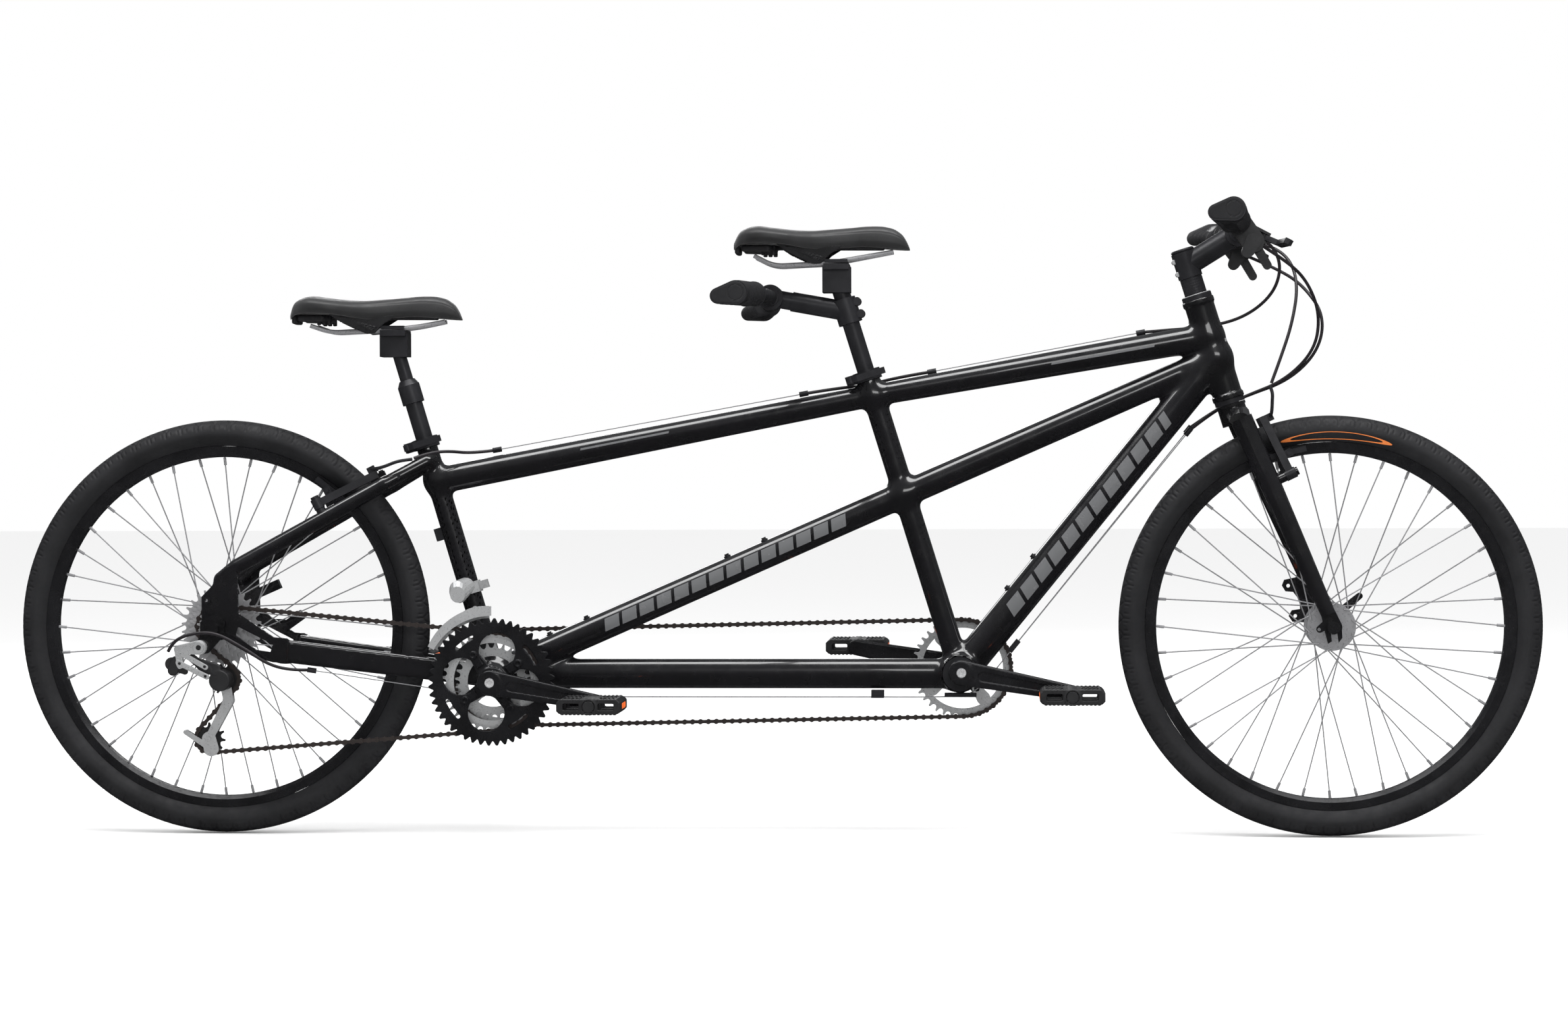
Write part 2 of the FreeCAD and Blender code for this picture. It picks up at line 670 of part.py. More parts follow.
drive_phase = DRIVE.phase(DRIVE_ROLLERS, 0, REAR_CRANK)
big_y = DRIVE_Y - RING_STEP
small_y = DRIVE_Y + RING_STEP
big = chainring(REAR_CRANK, BIG_TEETH, CRANK_ANGLE, big_y, 79.0)
big = fuse([big] + tabs(REAR_CRANK, big_y, BIG_BOLT_R, 78.0, 10.0, 21.0, SPIDER_ANGLES))
slots = []
for a in SPIDER_ANGLES:
    slots.append(link(polar(REAR_CRANK, 71, a - 7), polar(REAR_CRANK, 71, a + 7), 4.2, 4.0, -90, 0))
big = cut(big, slots + bolt_holes(REAR_CRANK, BIG_BOLT_R, SPIDER_ANGLES))
big = cut(big, [disc(REAR_CRANK, -90, 0, 43.0)])
save("outer_chainring", [biggest(big)])

middle = chainring(REAR_CRANK, MIDDLE_TEETH, drive_phase, DRIVE_Y, 61.0)
middle = fuse([middle] + tabs(REAR_CRANK, DRIVE_Y, BIG_BOLT_R, 57.5, 8.0, 11.0, SPIDER_ANGLES))
middle = cut(middle, bolt_holes(REAR_CRANK, BIG_BOLT_R, SPIDER_ANGLES))
small = chainring(REAR_CRANK, SMALL_TEETH, CRANK_ANGLE, small_y, 40.0)
small = fuse([small] + tabs(REAR_CRANK, small_y, SMALL_BOLT_R, 39.0, 7.0, 10.0, SPIDER_ANGLES))
small = cut(small, bolt_holes(REAR_CRANK, SMALL_BOLT_R, SPIDER_ANGLES))


def timing_ring(centre, phase):
    blank = chainring(centre, MIDDLE_TEETH, phase, TIMING_Y, 64.0)
    body = fuse([blank] + tabs(centre, TIMING_Y, TIMING_BOLT_R, 58.0, 7.5, 11.0, SPIDER_ANGLES))
    return cut(body, bolt_holes(centre, TIMING_BOLT_R, SPIDER_ANGLES))


rear_timing = timing_ring(REAR_CRANK, TIMING.phase(TIMING_ROLLERS, 0, REAR_CRANK))
front_timing = timing_ring(FRONT_CRANK, TIMING.phase(TIMING_ROLLERS, 1, FRONT_CRANK))
save("inner_chainrings", [middle, small, rear_timing])
save("front_timing_ring", [front_timing])


PEDAL_AXLE_R = 5.0
ARM_ROOT_R = 20.0
ARM_TIP_R = 12.5


def arm(centre, length, degrees, side):
    """Crank arm with its boss and pedal spindle; side is -1 for the right."""
    end = polar(centre, length, degrees)
    y0, y1 = sorted((side * ARM_INNER_Y, side * ARM_OUTER_Y))
    b0, b1 = sorted((side * 57.0, side * ARM_OUTER_Y))
    s0, s1 = sorted((side * ARM_INNER_Y, side * (PEDAL_INNER_Y + PEDAL_LENGTH - 8.0)))
    c0, c1 = sorted((side * ARM_OUTER_Y, side * (PEDAL_INNER_Y - BODY_GAP)))
    return [
        link(centre, end, ARM_ROOT_R, ARM_TIP_R, y0, y1),
        disc(centre, b0, b1, 17.0),
        disc(end, s0, s1, PEDAL_AXLE_R),
        disc(end, c0, c1, 8.0),
    ]


spindle_rear = disc(REAR_CRANK, -ARM_INNER_Y, ARM_INNER_Y, SPINDLE_R)
spindle_front = disc(FRONT_CRANK, -ARM_INNER_Y, ARM_INNER_Y, SPINDLE_R)
spider_y = (big_y + RING_BODY_HALF, DRIVE_Y - RING_BODY_HALF)
spider = [disc(REAR_CRANK, *spider_y, 37.0), disc(REAR_CRANK, -57.5, spider_y[0], 22.0)]
for a in SPIDER_ANGLES:
    tip = polar(REAR_CRANK, BIG_BOLT_R, a)
    spider.append(link(REAR_CRANK, tip, 20.0, 8.5, *spider_y))
    spider.append(disc(tip, big_y - RING_BODY_HALF - 1.2, DRIVE_Y + RING_BODY_HALF, BOLT_R))
    spider.append(disc(polar(REAR_CRANK, SMALL_BOLT_R, a), spider_y[1], small_y + RING_BODY_HALF, BOLT_R))


def timing_spider(centre):
    y0 = TIMING_Y + RING_BODY_HALF
    pieces = [disc(centre, y0, 57.5, 19.0)]
    for a in SPIDER_ANGLES:
        tip = polar(centre, TIMING_BOLT_R, a)
        pieces.append(link(centre, tip, 16.0, 8.0, y0, y0 + 4.5))
        pieces.append(disc(tip, TIMING_Y - RING_BODY_HALF, y0, BOLT_R))
    return pieces


rear_arms = [spindle_rear] + spider + timing_spider(REAR_CRANK)
rear_arms += arm(REAR_CRANK, REAR_ARM, CRANK_ANGLE, -1) + arm(REAR_CRANK, REAR_ARM, CRANK_ANGLE + 180, 1)
front_arms = [spindle_front] + timing_spider(FRONT_CRANK)
front_arms += arm(FRONT_CRANK, FRONT_ARM, CRANK_ANGLE, -1) + arm(FRONT_CRANK, FRONT_ARM, CRANK_ANGLE + 180, 1)
crank_hollows = []
for centre in (REAR_CRANK, FRONT_CRANK):
    crank_hollows += [disc(centre, -82, -78, 8.0), disc(centre, 78, 82, 8.0)]
save("rear_crank_arms", [cut(fuse(rear_arms), crank_hollows)])
save("front_crank_arms", [cut(fuse(front_arms), crank_hollows)])

PEDAL_OUTLINE = [(-50, -7), (-44, -13), (44, -13), (50, -7), (50, 7), (44, 13), (-44, 13), (-50, 7)]


def pedal(centre, side):
    y0, y1 = sorted((side * PEDAL_INNER_Y, side * (PEDAL_INNER_Y + PEDAL_LENGTH)))
    points = [(centre[0] + x, centre[1] + z) for x, z in PEDAL_OUTLINE]
    body = plate(points, y0, y1).fuse(disc(centre, y0, y1, 14.0)).removeSplitter()
    gaps = []
    for x0 in (-41.0, 15.0):
        for k in range(2):
            low = V(centre[0] + x0, y0 + 11 + 38 * k, centre[1] - 20)
            gaps.append(Part.makeBox(26, 34, 40, low))
    body = cut(body, gaps)
    bore_end = side * (PEDAL_INNER_Y + PEDAL_LENGTH - 8.0 + BODY_GAP)
    b0, b1 = sorted((side * (PEDAL_INNER_Y - 1), bore_end))
    return body.cut(disc(centre, b0, b1, PEDAL_AXLE_R + RUN_GAP))


PEDALS = {
    "rear_right_pedal": (polar(REAR_CRANK, REAR_ARM, CRANK_ANGLE), -1),
    "rear_left_pedal": (polar(REAR_CRANK, REAR_ARM, CRANK_ANGLE + 180), 1),
    "front_right_pedal": (polar(FRONT_CRANK, FRONT_ARM, CRANK_ANGLE), -1),
    "front_left_pedal": (polar(FRONT_CRANK, FRONT_ARM, CRANK_ANGLE + 180), 1),
}
for name, (centre, side) in PEDALS.items():
    save(name, [pedal(centre, side)])
    print(name, centre)

# ---- cassette and pulleys ---------------------------------------------------------------------------------
CORE_Y = (-66.5, -28.3)
cassette_parts = [disc(REAR_AXLE, CORE_Y[0], CORE_Y[1], 17.0)]
used_index = CASSETTE_TEETH.index(USED_TEETH)
cassette_phase = DRIVE.phase(DRIVE_ROLLERS, 3, REAR_AXLE)
for i, teeth in enumerate(CASSETTE_TEETH):
    y = DRIVE_Y + SPROCKET_STEP * (i - used_index)
    phase = cassette_phase if teeth == USED_TEETH else 7.0 * i
    cassette_parts.append(sprocket_blank(REAR_AXLE, teeth, phase, y - RING_HALF, y + RING_HALF, 12.0))
cassette_bore = disc(REAR_AXLE, -70, -20, AXLE_R + RUN_GAP)
save("cassette", [fuse(cassette_parts).cut(cassette_bore)])

PULLEY_BOLT_R = 3.0


def pulley(centre, wheel):
    phase = DRIVE.phase(DRIVE_ROLLERS, wheel, centre)
    y0 = DRIVE_Y - RING_HALF
    y1 = DRIVE_Y + RING_HALF
    teeth = sprocket_blank(centre, PULLEY_TEETH, phase, y0, y1, 4.0, PULLEY_TOOTH_HEIGHT)
    hub = disc(centre, DRIVE_Y - 3.2, DRIVE_Y + 3.2, 9.0)
    return teeth.fuse(hub).removeSplitter().cut(disc(centre, -60, -40, PULLEY_BOLT_R + RUN_GAP))


save("guide_pulley", [pulley(GUIDE_PULLEY, 2)])
save("tension_pulley", [pulley(TENSION_PULLEY, 1)])

# Cage: an outer and an inner plate held apart by the two pulley bolts.
CAGE_PLATE = 1.6
cage_out_y = DRIVE_Y - 4.2 - CAGE_PLATE
cage_in_y = DRIVE_Y + 4.2
elbow = (-856.0, 213.0)
tail = (-925.0, 163.0)
toe = (-884.0, 137.0)


def cage_plate(y0):
    y1 = y0 + CAGE_PLATE
    pieces = [
        link(GUIDE_PULLEY, elbow, 9.0, 8.0, y0, y1),
        link(elbow, TENSION_PULLEY, 8.0, 6.5, y0, y1),
        link(TENSION_PULLEY, toe, 11.0, 12.0, y0, y1),
        link(toe, tail, 5.0, 3.5, y0, y1),
    ]
    return fuse(pieces)


cage = [cage_plate(cage_out_y), cage_plate(cage_in_y)]
for c in (GUIDE_PULLEY, TENSION_PULLEY):
    cage.append(disc(c, cage_out_y - 1.5, cage_in_y + CAGE_PLATE, PULLEY_BOLT_R))
cage.append(disc(tail, cage_out_y, cage_in_y + CAGE_PLATE, 2.5))
save("derailleur_cage", [fuse(cage)])


# Fixed body of the rear derailleur: upper knuckle on the hanger, two link plates, lower knuckle.
def from_bolt(dx, dz):
    return (HANGER_BOLT[0] + dx, HANGER_BOLT[1] + dz)


knuckle_end = cage_out_y - 2.0
rear_mech = [
    link(HANGER_BOLT, from_bolt(-33, -3), 12.0, 7.0, -97.0, -84.5),
    disc(HANGER_BOLT, -99.0, -97.0, 9.0),
    disc(HANGER_BOLT, -86.0, -79.8, 4.9),
    link(from_bolt(-33, -3), from_bolt(-31, -28), 7.0, 6.0, -97.0, -85.0),
    link(from_bolt(-31, -28), from_bolt(14, -46), 6.5, 6.5, -95.0, -86.0),
    link(from_bolt(-12, -17), from_bolt(24, -30), 8.0, 10.0, -92.0, -84.5),
    disc(GUIDE_PULLEY, -92.0, knuckle_end, 17.0),
    link(from_bolt(-38, -20), from_bolt(-42, -36), 7.0, 9.0, -94.0, -88.0),
]
rear_mech = fuse(rear_mech)
arm_body = link(from_bolt(-45, -26), from_bolt(-18, -42), 12.0, 5.0, -92.0, -84.0)
save("rear_derailleur", [rear_mech.cut(disc(REAR_AXLE, -98, -80, 11.0)), arm_body.cut(rear_mech)])

# ---- wheels ---------------------------------------------------------------------------------------------------
TYRE_WALL = 3.0
NIPPLE_R = 2.2
SPOKE_OFFSET = 2.7
RIM_OFFSET = 1.2


def revolve(edges, centre):
    face = Part.Face(Part.Wire(edges))
    body = face.revolve(V(0, 0, 0), V(0, 1, 0), 360)
    body.translate(at(centre))
    return body


def closed_lines(points):
    corners = [V(r, y, 0) for r, y in points]
    return [Part.makeLine(a, b) for a, b in zip(corners, corners[1:] + corners[:1])]


def arc3(a, b, c):
    return Part.Arc(V(a[0], a[1], 0), V(b[0], b[1], 0), V(c[0], c[1], 0)).toShape()


def tyre(centre):
    hw = TYRE_HALF_WIDTH
    w = TYRE_WALL
    bead = RIM_OUTER_R + 0.2
    shoulder = TYRE_R - hw
    edges = [
        arc3((bead, 12.5), (295, 20.5), (shoulder, hw)),
        arc3((shoulder, hw), (TYRE_R, 0), (shoulder, -hw)),
        arc3((shoulder, -hw), (295, -20.5), (bead, -12.5)),
        Part.makeLine(V(bead, -12.5, 0), V(bead, -9.5, 0)),
        arc3((bead, -9.5), (296, -17.5), (shoulder, w - hw)),
        arc3((shoulder, w - hw), (TYRE_R - w, 0), (shoulder, hw - w)),
        arc3((shoulder, hw - w), (296, 17.5), (bead, 9.5)),
        Part.makeLine(V(bead, 9.5, 0), V(bead, 12.5, 0)),
    ]
    return revolve(edges, centre)


RIM_PROFILE = [
    (RIM_OUTER_R, RIM_HALF_WIDTH), (RIM_OUTER_R, 11.2), (278, 10.0), (275.5, 6.0), (275.5, -6.0), (278, -10.0),
    (RIM_OUTER_R, -11.2), (RIM_OUTER_R, -RIM_HALF_WIDTH), (275, -13.0), (RIM_INNER_R, -7.5),
    (RIM_INNER_R, 7.5), (275, 13.0),
]


def wheel(prefix, centre, flanges, hub_profile):
    save(f"{prefix}_tyre", [tyre(centre)])
    save(f"{prefix}_rim", [revolve(closed_lines(RIM_PROFILE), centre)])
    hub = revolve(closed_lines(hub_profile), centre)
    pieces = []
    holes = []
    for side, flange_y in zip((-1, 1), flanges):
        offset = 9.0 if side > 0 else 0.0
        for k in range(SPOKES_PER_SIDE):
            start = 18.0 * k + offset
            sense = 1 if k % 2 == 0 else -1
            hub_y = flange_y + sense * SPOKE_OFFSET
            rim_y = side * 3.0 + sense * RIM_OFFSET
            foot = at(polar(centre, FLANGE_HOLE_R, start), hub_y)
            tip = at(polar(centre, RIM_INNER_R - 0.2, start + sense * SPOKE_CROSS_DEG), rim_y)
            run = (tip - foot).normalize()
            head = at(polar(centre, FLANGE_HOLE_R, start), flange_y - sense * 2.4)
            spoke = cylinder(foot, tip, SPOKE_R)
            elbow = cylinder(head, foot, SPOKE_R)
            bend = Part.makeSphere(SPOKE_R + 0.12, foot)
            nipple = cylinder(tip - run * 12.5, tip - run * 0.4, NIPPLE_R)
            pieces.append(biggest(fuse([spoke, bend, elbow, nipple])))
            holes.append(disc(polar(centre, FLANGE_HOLE_R, start), flange_y - 3, flange_y + 3, SPOKE_R + 0.15))
    hub = hub.cut(Part.Compound(holes))
    save(f"{prefix}_hub", [hub] + pieces)


bore = AXLE_R + RUN_GAP
front_profile = [
    (bore, -49.4), (12.0, -49.4), (12.0, -32.0), (37.5, -31.4), (37.5, -28.4), (16.0, -27.0),
    (16.0, 27.0), (37.5, 28.4), (37.5, 31.4), (12.0, 32.0), (12.0, 49.4), (bore, 49.4),
]
wheel("front", FRONT_AXLE, (-29.9, 29.9), front_profile)
rear_profile = [
    (bore, -27.4), (14.0, -27.4), (14.0, -25.2), (37.5, -24.6), (37.5, -21.6), (18.0, -20.0),
    (18.0, 31.0), (37.5, 32.6), (37.5, 35.6), (19.0, 36.2), (19.0, 58.0), (11.0, 58.0), (11.0, 67.0), (bore, 67.0),
]
wheel("rear", REAR_AXLE, (-23.1, 34.1), rear_profile)

# ---- fork --------------------------------------------------------------------------------------------------------
BLADE_TOP = (732.0, 652.0)
BLADE_FOOT = (865.0, 348.0)
BLADE_TOP_Y = 44.0
BLADE_FOOT_Y = 54.0
FORK_DROPOUT_Y = (50.0, 57.0)
STEM_TOP = 82.0
BLADE_AXIS = unit(BLADE_FOOT, BLADE_TOP)
BLADE_NORMAL = (BLADE_AXIS[1], -BLADE_AXIS[0])


def steer(distance):
    return along(HEAD_TOP, HEAD_AXIS, distance)


def under_head(distance):
    return along(HEAD_LOW, HEAD_AXIS, -distance)


steerer = cylinder(at(under_head(30)), at(steer(STEM_TOP - 4)), STEERER_R)
crown_race = cylinder(at(under_head(12)), at(under_head(7.5)), 23.5)
crown_body = cylinder(at(under_head(40)), at(under_head(12)), 22.0)
crown_bar = loft([
    oval_section(V(BLADE_TOP[0] - 3, y, BLADE_TOP[1] + rise), V(0.97, 0, 0.24), V(-0.24, 0, 0.97), ru, rv)
    for y, ru, rv, rise in ((-50, 15, 10, -2), (-30, 18, 15, 3), (0, 20, 16, 6), (30, 18, 15, 3), (50, 15, 10, -2))
])
blade_solids = []
for side in (-1, 1):
    sections = []
    for t, ru, rv in ((0.0, 17.5, 12.0), (0.35, 16.5, 11.0), (0.7, 14.0, 9.5), (1.0, 11.5, 8.0)):
        x = BLADE_TOP[0] + (BLADE_FOOT[0] - BLADE_TOP[0]) * t
        z = BLADE_TOP[1] + (BLADE_FOOT[1] - BLADE_TOP[1]) * t
        y = side * (BLADE_TOP_Y + (BLADE_FOOT_Y - BLADE_TOP_Y) * t)
        normal = V(BLADE_NORMAL[0], 0, BLADE_NORMAL[1])
        sections.append(oval_section(V(x, y, z), normal, V(0, 1, 0), ru, rv))
    blade_solids.append(loft(sections))
fork_end = link(BLADE_FOOT, FRONT_AXLE, 11.5, 14.0, *FORK_DROPOUT_Y)
fork_tips = plate([(858, 326), (864, 303), (872, 308), (879, 303), (886, 312), (885, 330)], *FORK_DROPOUT_Y)
fork_eyelet = link((866, 336), (851.5, 325.5), 8.0, 5.5, *FORK_DROPOUT_Y)
FORK_EYELET = (850.5, 325.0)
FORK_EYELET_R = 2.6
fork_end = fuse([fork_end, fork_tips, fork_eyelet])
fork_slot = link(FRONT_AXLE, (876.5, 296.0), AXLE_R, AXLE_R - 0.01, 40, 60)
fork_end = cut(fork_end, [fork_slot, disc(FORK_EYELET, 40, 60, FORK_EYELET_R)])
fork_end = biggest(fork_end)
DISC_TAB = [
    (842, 428), (829, 414), (824, 402), (806, 398), (802.5, 389), (808, 380), (820, 379), (830, 366),
    (831, 352), (818, 350), (813, 341), (819, 332), (838, 331), (860, 340), (866, 372),
]
DISC_HOLES = ((812.2, 388.8), (823.2, 341.1))
DISC_HOLE_R = 3.05
disc_tab = plate(DISC_TAB, 50.5, 57.5)
disc_tab = cut(disc_tab, [disc(h, 40, 70, DISC_HOLE_R) for h in DISC_HOLES])
disc_tab = biggest(cut(disc_tab, [blade_solids[1], fork_end]))

STUD_R = 4.0
BRAKES = {
    "front": {
        "pivot": (808.5, 565.4), "along": (-0.4356, 0.9001), "normal": (0.9001, 0.4356),
        "y": 42.0, "top_y": 34.0, "length": 98.0, "back": 37.0, "pad_angle": 103.8, "axle": FRONT_AXLE,
    },
    "rear": {
        "pivot": (-712.5, 523.3), "along": (0.8919, 0.4522), "normal": (-0.4522, 0.8919),
        "y": 51.0, "top_y": 36.0, "length": 103.0, "back": 25.0, "pad_angle": 51.15, "axle": REAR_AXLE,
    },
}
BARREL_HALF = 8.5


def brake_frame(b):
    a = V(b["along"][0], 0, b["along"][1])
    n = V(b["normal"][0], 0, b["normal"][1])
    return a, n


def brake_studs(b):
    a, n = brake_frame(b)
    studs = []
    for side in (-1, 1):
        p = at(b["pivot"], side * b["y"])
        studs.append(fuse([
            cylinder(p - n * b["back"], p - n * (BARREL_HALF + BODY_GAP), 7.5),
            cylinder(p - n * b["back"], p + n * (BARREL_HALF + 4.0), STUD_R),
            cylinder(p + n * (BARREL_HALF + BODY_GAP), p + n * (BARREL_HALF + 4.0), 6.5),
        ]))
    return studs


def brake_arm(b, side, has_noodle):
    a, n = brake_frame(b)
    y = V(0, side, 0)
    p = at(b["pivot"], side * b["y"])
    top = at(b["pivot"], side * b["top_y"]) + a * b["length"]
    lean = (top - p).normalize()
    points = [p - y * 7 - n * 6, p + y * 6 - n * 6, top + y * 5 - n * 6, top - y * 4 - n * 6]
    blade = polygon_prism(points, n * 12)
    barrel = cylinder(p - n * BARREL_HALF, p + n * BARREL_HALF, 8.5)
    pad_centre = at(polar(b["axle"], 278.0, b["pad_angle"]))
    radial = at(polar((0, 0), 1.0, b["pad_angle"]))
    tangent = V(-radial.z, 0, radial.x)
    pad = oriented_box(pad_centre + y * 21.0, tangent, V(0, 1, 0), radial, 58, 10, 8.5)
    reach = b["y"] - (b["y"] - b["top_y"]) * 0.3
    post = cylinder(pad_centre + y * 24.0, pad_centre + y * (reach + 7.0), 3.2)
    offset = pad_centre - at(b["pivot"])
    height = offset.dot(a)
    lug = oriented_box(
        at(b["pivot"], side * (reach + 1.0)) + a * height + n * (offset.dot(n) / 2 + 1.0), a, V(0, 1, 0), n,
        12, 8, offset.dot(n) + 8.0,
    )
    parts = [blade, barrel, pad, post, lug]
    upper = top - a * 5 + n * 11
    if has_noodle:
        cradle = oriented_box(top - a * 5 + n * 7, a, V(0, 1, 0), n, 12, 9, 16)
        run = b["noodle"]
        noodle = cable([upper + y * 2] + [v for v in run], 2.6)
        boot = cylinder(upper, upper - y * (b["top_y"] + 12), 3.4)
        wire = cylinder(upper, upper - y * (2 * b["top_y"] + 8), 0.9)
        parts += [cradle, noodle, boot, wire]
    else:
        parts.append(cylinder(top - a * 5 + n * 5, top - a * 5 + n * 8.5, 4.0))
    bore_cut = cylinder(p - n * 20, p + n * 20, STUD_R + RUN_GAP)
    return fuse(parts).cut(bore_cut)


BRAKES["front"]["noodle"] = [V(779, -50, 662), V(780, -52, 690), V(776.5, -49, 701)]
BRAKES["rear"]["noodle"] = [V(-610, -52, 580), V(-585, -52, 590), V(-562, -49, 593)]
front_studs = brake_studs(BRAKES["front"])
crown = fuse([crown_race, crown_body, crown_bar])
axle_front = fuse([
    disc(FRONT_AXLE, -60, 62, AXLE_R),
    disc(FRONT_AXLE, -66, -57, 10.0),
    disc(FRONT_AXLE, 57, 66, 10.0),
])
front_skewer = link(FRONT_AXLE, (925.0, 372.0), 7.0, 5.0, 66.0, 72.0)
blades = [cut(s, [crown]) for s in blade_solids]
right_end = mirrored(fork_end)
blades = [biggest(blades[0].cut(right_end)), biggest(blades[1].cut(fork_end))]
front_studs = [biggest(s.cut(blade_solids[i])) for i, s in enumerate(front_studs)]
save("fork_crown", [crown.cut(steerer), steerer])
save("fork_blades", blades + [fork_end, right_end, disc_tab, axle_front, front_skewer] + front_studs)
for name, b in BRAKES.items():
    save(f"{name}_right_brake_arm", [brake_arm(b, -1, True)])
    save(f"{name}_left_brake_arm", [brake_arm(b, 1, False)])
    print(name, "brake pad height", b["pad_angle"])

# ---- stem, handlebar, controls ----------------------------------------------------------------------------------------
BAR_CLAMP = (731.3, 941.0)
BAR_END = (705.0, 957.5)
BAR_HALF = 289.0
BAR_R = 11.1
GRIP_INNER = 166.0
BEND_Y = 60.0


def bar_at(y, clamp=BAR_CLAMP, end=BAR_END, half=BAR_HALF):
    t = max(0.0, (abs(y) - BEND_Y) / (half - BEND_Y))
    return (clamp[0] + (end[0] - clamp[0]) * t, clamp[1] + (end[1] - clamp[1]) * t)


def handlebar(clamp, end, half, centre_r):
    points = [at(end, -half), at(clamp, -BEND_Y), at(clamp, BEND_Y), at(end, half)]
    return fuse([cable(points, BAR_R), disc(clamp, -24, 24, centre_r)])


def grips(clamp, end, half):
    pieces = []
    for side in (-1, 1):
        wires = []
        for y in (GRIP_INNER, half + 1.5):
            p = bar_at(y, clamp, end, half)
            wing = (p[0] - (12 if y == GRIP_INNER else 26), p[1] - 5)
            wires.append(link_face(p, wing, 18.0, 12.0, side * y).OuterWire)
        body = Part.makeLoft(wires, True, True)
        points = [at(bar_at(y, clamp, end, half), side * y) for y in (half - 1.0, GRIP_INNER - 4)]
        pieces.append(body.cut(cylinder(points[0], points[1], BAR_R)))
    return pieces


stem_body = fuse([
    cylinder(at(steer(36)), at(steer(77)), 19.0),
    cylinder(at(steer(8)), at(steer(35.5)), 17.5),
    cylinder(at(steer(78)), at(steer(STEM_TOP)), 17.0),
    cylinder(at(steer(34)), at(steer(STEM_TOP - 3)), 16.5),
    cylinder(at(steer(56)), at(BAR_CLAMP), 17.75),
    disc(BAR_CLAMP, -22, 22, 22.0),
])
stem_body = cut(stem_body, [steerer, disc(BAR_CLAMP, -30, 30, 15.9)])
save("stem", [biggest(stem_body)])
captain_bar = handlebar(BAR_CLAMP, BAR_END, BAR_HALF, 15.9)
save("captain_handlebar", [captain_bar] + grips(BAR_CLAMP, BAR_END, BAR_HALF))

LEVER_DROP = math.radians(28.0)
LEVER_DIR = V(math.cos(LEVER_DROP), 0, -math.sin(LEVER_DROP))
LEVER_UP = V(math.sin(LEVER_DROP), 0, math.cos(LEVER_DROP))
LEVER_Y = 128.0
LEVER_REACH = 42.0
LEVER_PIN_R = 3.0


def lever_pivot(side):
    return at(bar_at(LEVER_Y), side * LEVER_Y) + LEVER_DIR * LEVER_REACH


pods = []
for side in (-1, 1):
    base = at(bar_at(LEVER_Y), side * LEVER_Y)
    pivot = lever_pivot(side)
    out = V(0, side, 0)
    clamp = cylinder(base - out * 6, base + out * 8, 16.0)
    body_points = [
        base - out * 8 - LEVER_UP * 9 + LEVER_DIR * 8, base + out * 8 - LEVER_UP * 9 + LEVER_DIR * 8,
        pivot + out * 8 - LEVER_UP * 9 + LEVER_DIR * 8, pivot - out * 22 - LEVER_UP * 9 + LEVER_DIR * 8,
        pivot - out * 22 - LEVER_UP * 9 - LEVER_DIR * 8,
    ]
    perch = polygon_prism(body_points, LEVER_UP * 18)
    mouth = oriented_box(pivot + out * 1, out, LEVER_DIR, LEVER_UP, 20, 24, 10)
    perch = perch.cut(mouth)
    barrel = cylinder(pivot - out * 21, pivot - out * 36, 5.0)
    pin = cylinder(pivot - LEVER_UP * 9, pivot + LEVER_UP * 9, LEVER_PIN_R)
    perch = fuse([perch, clamp, barrel, pin])
    clamp_from = LEVER_Y - 14.0
    clamp_to = LEVER_Y + 16.0
    tube_core = cylinder(at(bar_at(clamp_from), side * clamp_from), at(bar_at(clamp_to), side * clamp_to), BAR_R)
    pods.append(perch.cut(tube_core))
    shifter = at(bar_at(153), side * 145)
    block = fuse([
        link((shifter.x, shifter.z), (shifter.x + 22, shifter.z - 30), 18.0, 17.0, *sorted((side * 145, side * 161))),
        link((shifter.x + 22, shifter.z - 30), (shifter.x + 14, shifter.z - 46), 12.0, 9.0,
             *sorted((side * 141, side * 163))),
    ])
    block = cut(block, [pods[-1], cylinder(at(bar_at(140), side * 140), at(bar_at(166), side * 166), BAR_R)])
    pods.append(biggest(block))
    thumb = link((shifter.x + 30, shifter.z - 42), (shifter.x + 44, shifter.z - 66), 7.0, 6.5,
                 *sorted((side * 147, side * 153)))
    pods.append(biggest(thumb.cut(block)))
    knee = pivot + out * 24 + LEVER_DIR * 26
    tip = pivot + out * 112 + LEVER_DIR * 32
    side_dir = LEVER_DIR * 5.5
    up4 = LEVER_UP * 4.2
    upper_run = [pivot - side_dir - up4, pivot + side_dir - up4, knee + side_dir - up4, knee - side_dir - up4]
    lower_run = [knee - side_dir - up4, knee + side_dir - up4, tip + side_dir - up4, tip - side_dir - up4]
    lever = fuse([
        cylinder(pivot - up4, pivot + up4, 7.0),
        polygon_prism(upper_run, up4 * 2),
        cylinder(knee - up4, knee + up4, 5.5),
        polygon_prism(lower_run, up4 * 2),
        cylinder(tip - up4, tip + up4, 6.5),
    ])
    lever = lever.cut(cylinder(pivot - LEVER_UP * 12, pivot + LEVER_UP * 12, LEVER_PIN_R + RUN_GAP))
    name = "rear_brake_lever" if side < 0 else "front_brake_lever"
    save(name, [lever])
    print(name, pivot)
save("control_pods", pods)

# ---- seatposts, stoker cockpit, saddles ------------------------------------------------------------------------------
def local(axis_foot, axis, forward, up):
    """Point given as forward and upward distances from a point on a seat tube's axis."""
    return (
        axis_foot[0] + axis[1] * forward + axis[0] * up,
        axis_foot[1] - axis[0] * forward + axis[1] * up,
    )


def seat_frame(axis):
    return V(axis[1], 0, -axis[0]), V(axis[0], 0, axis[1])


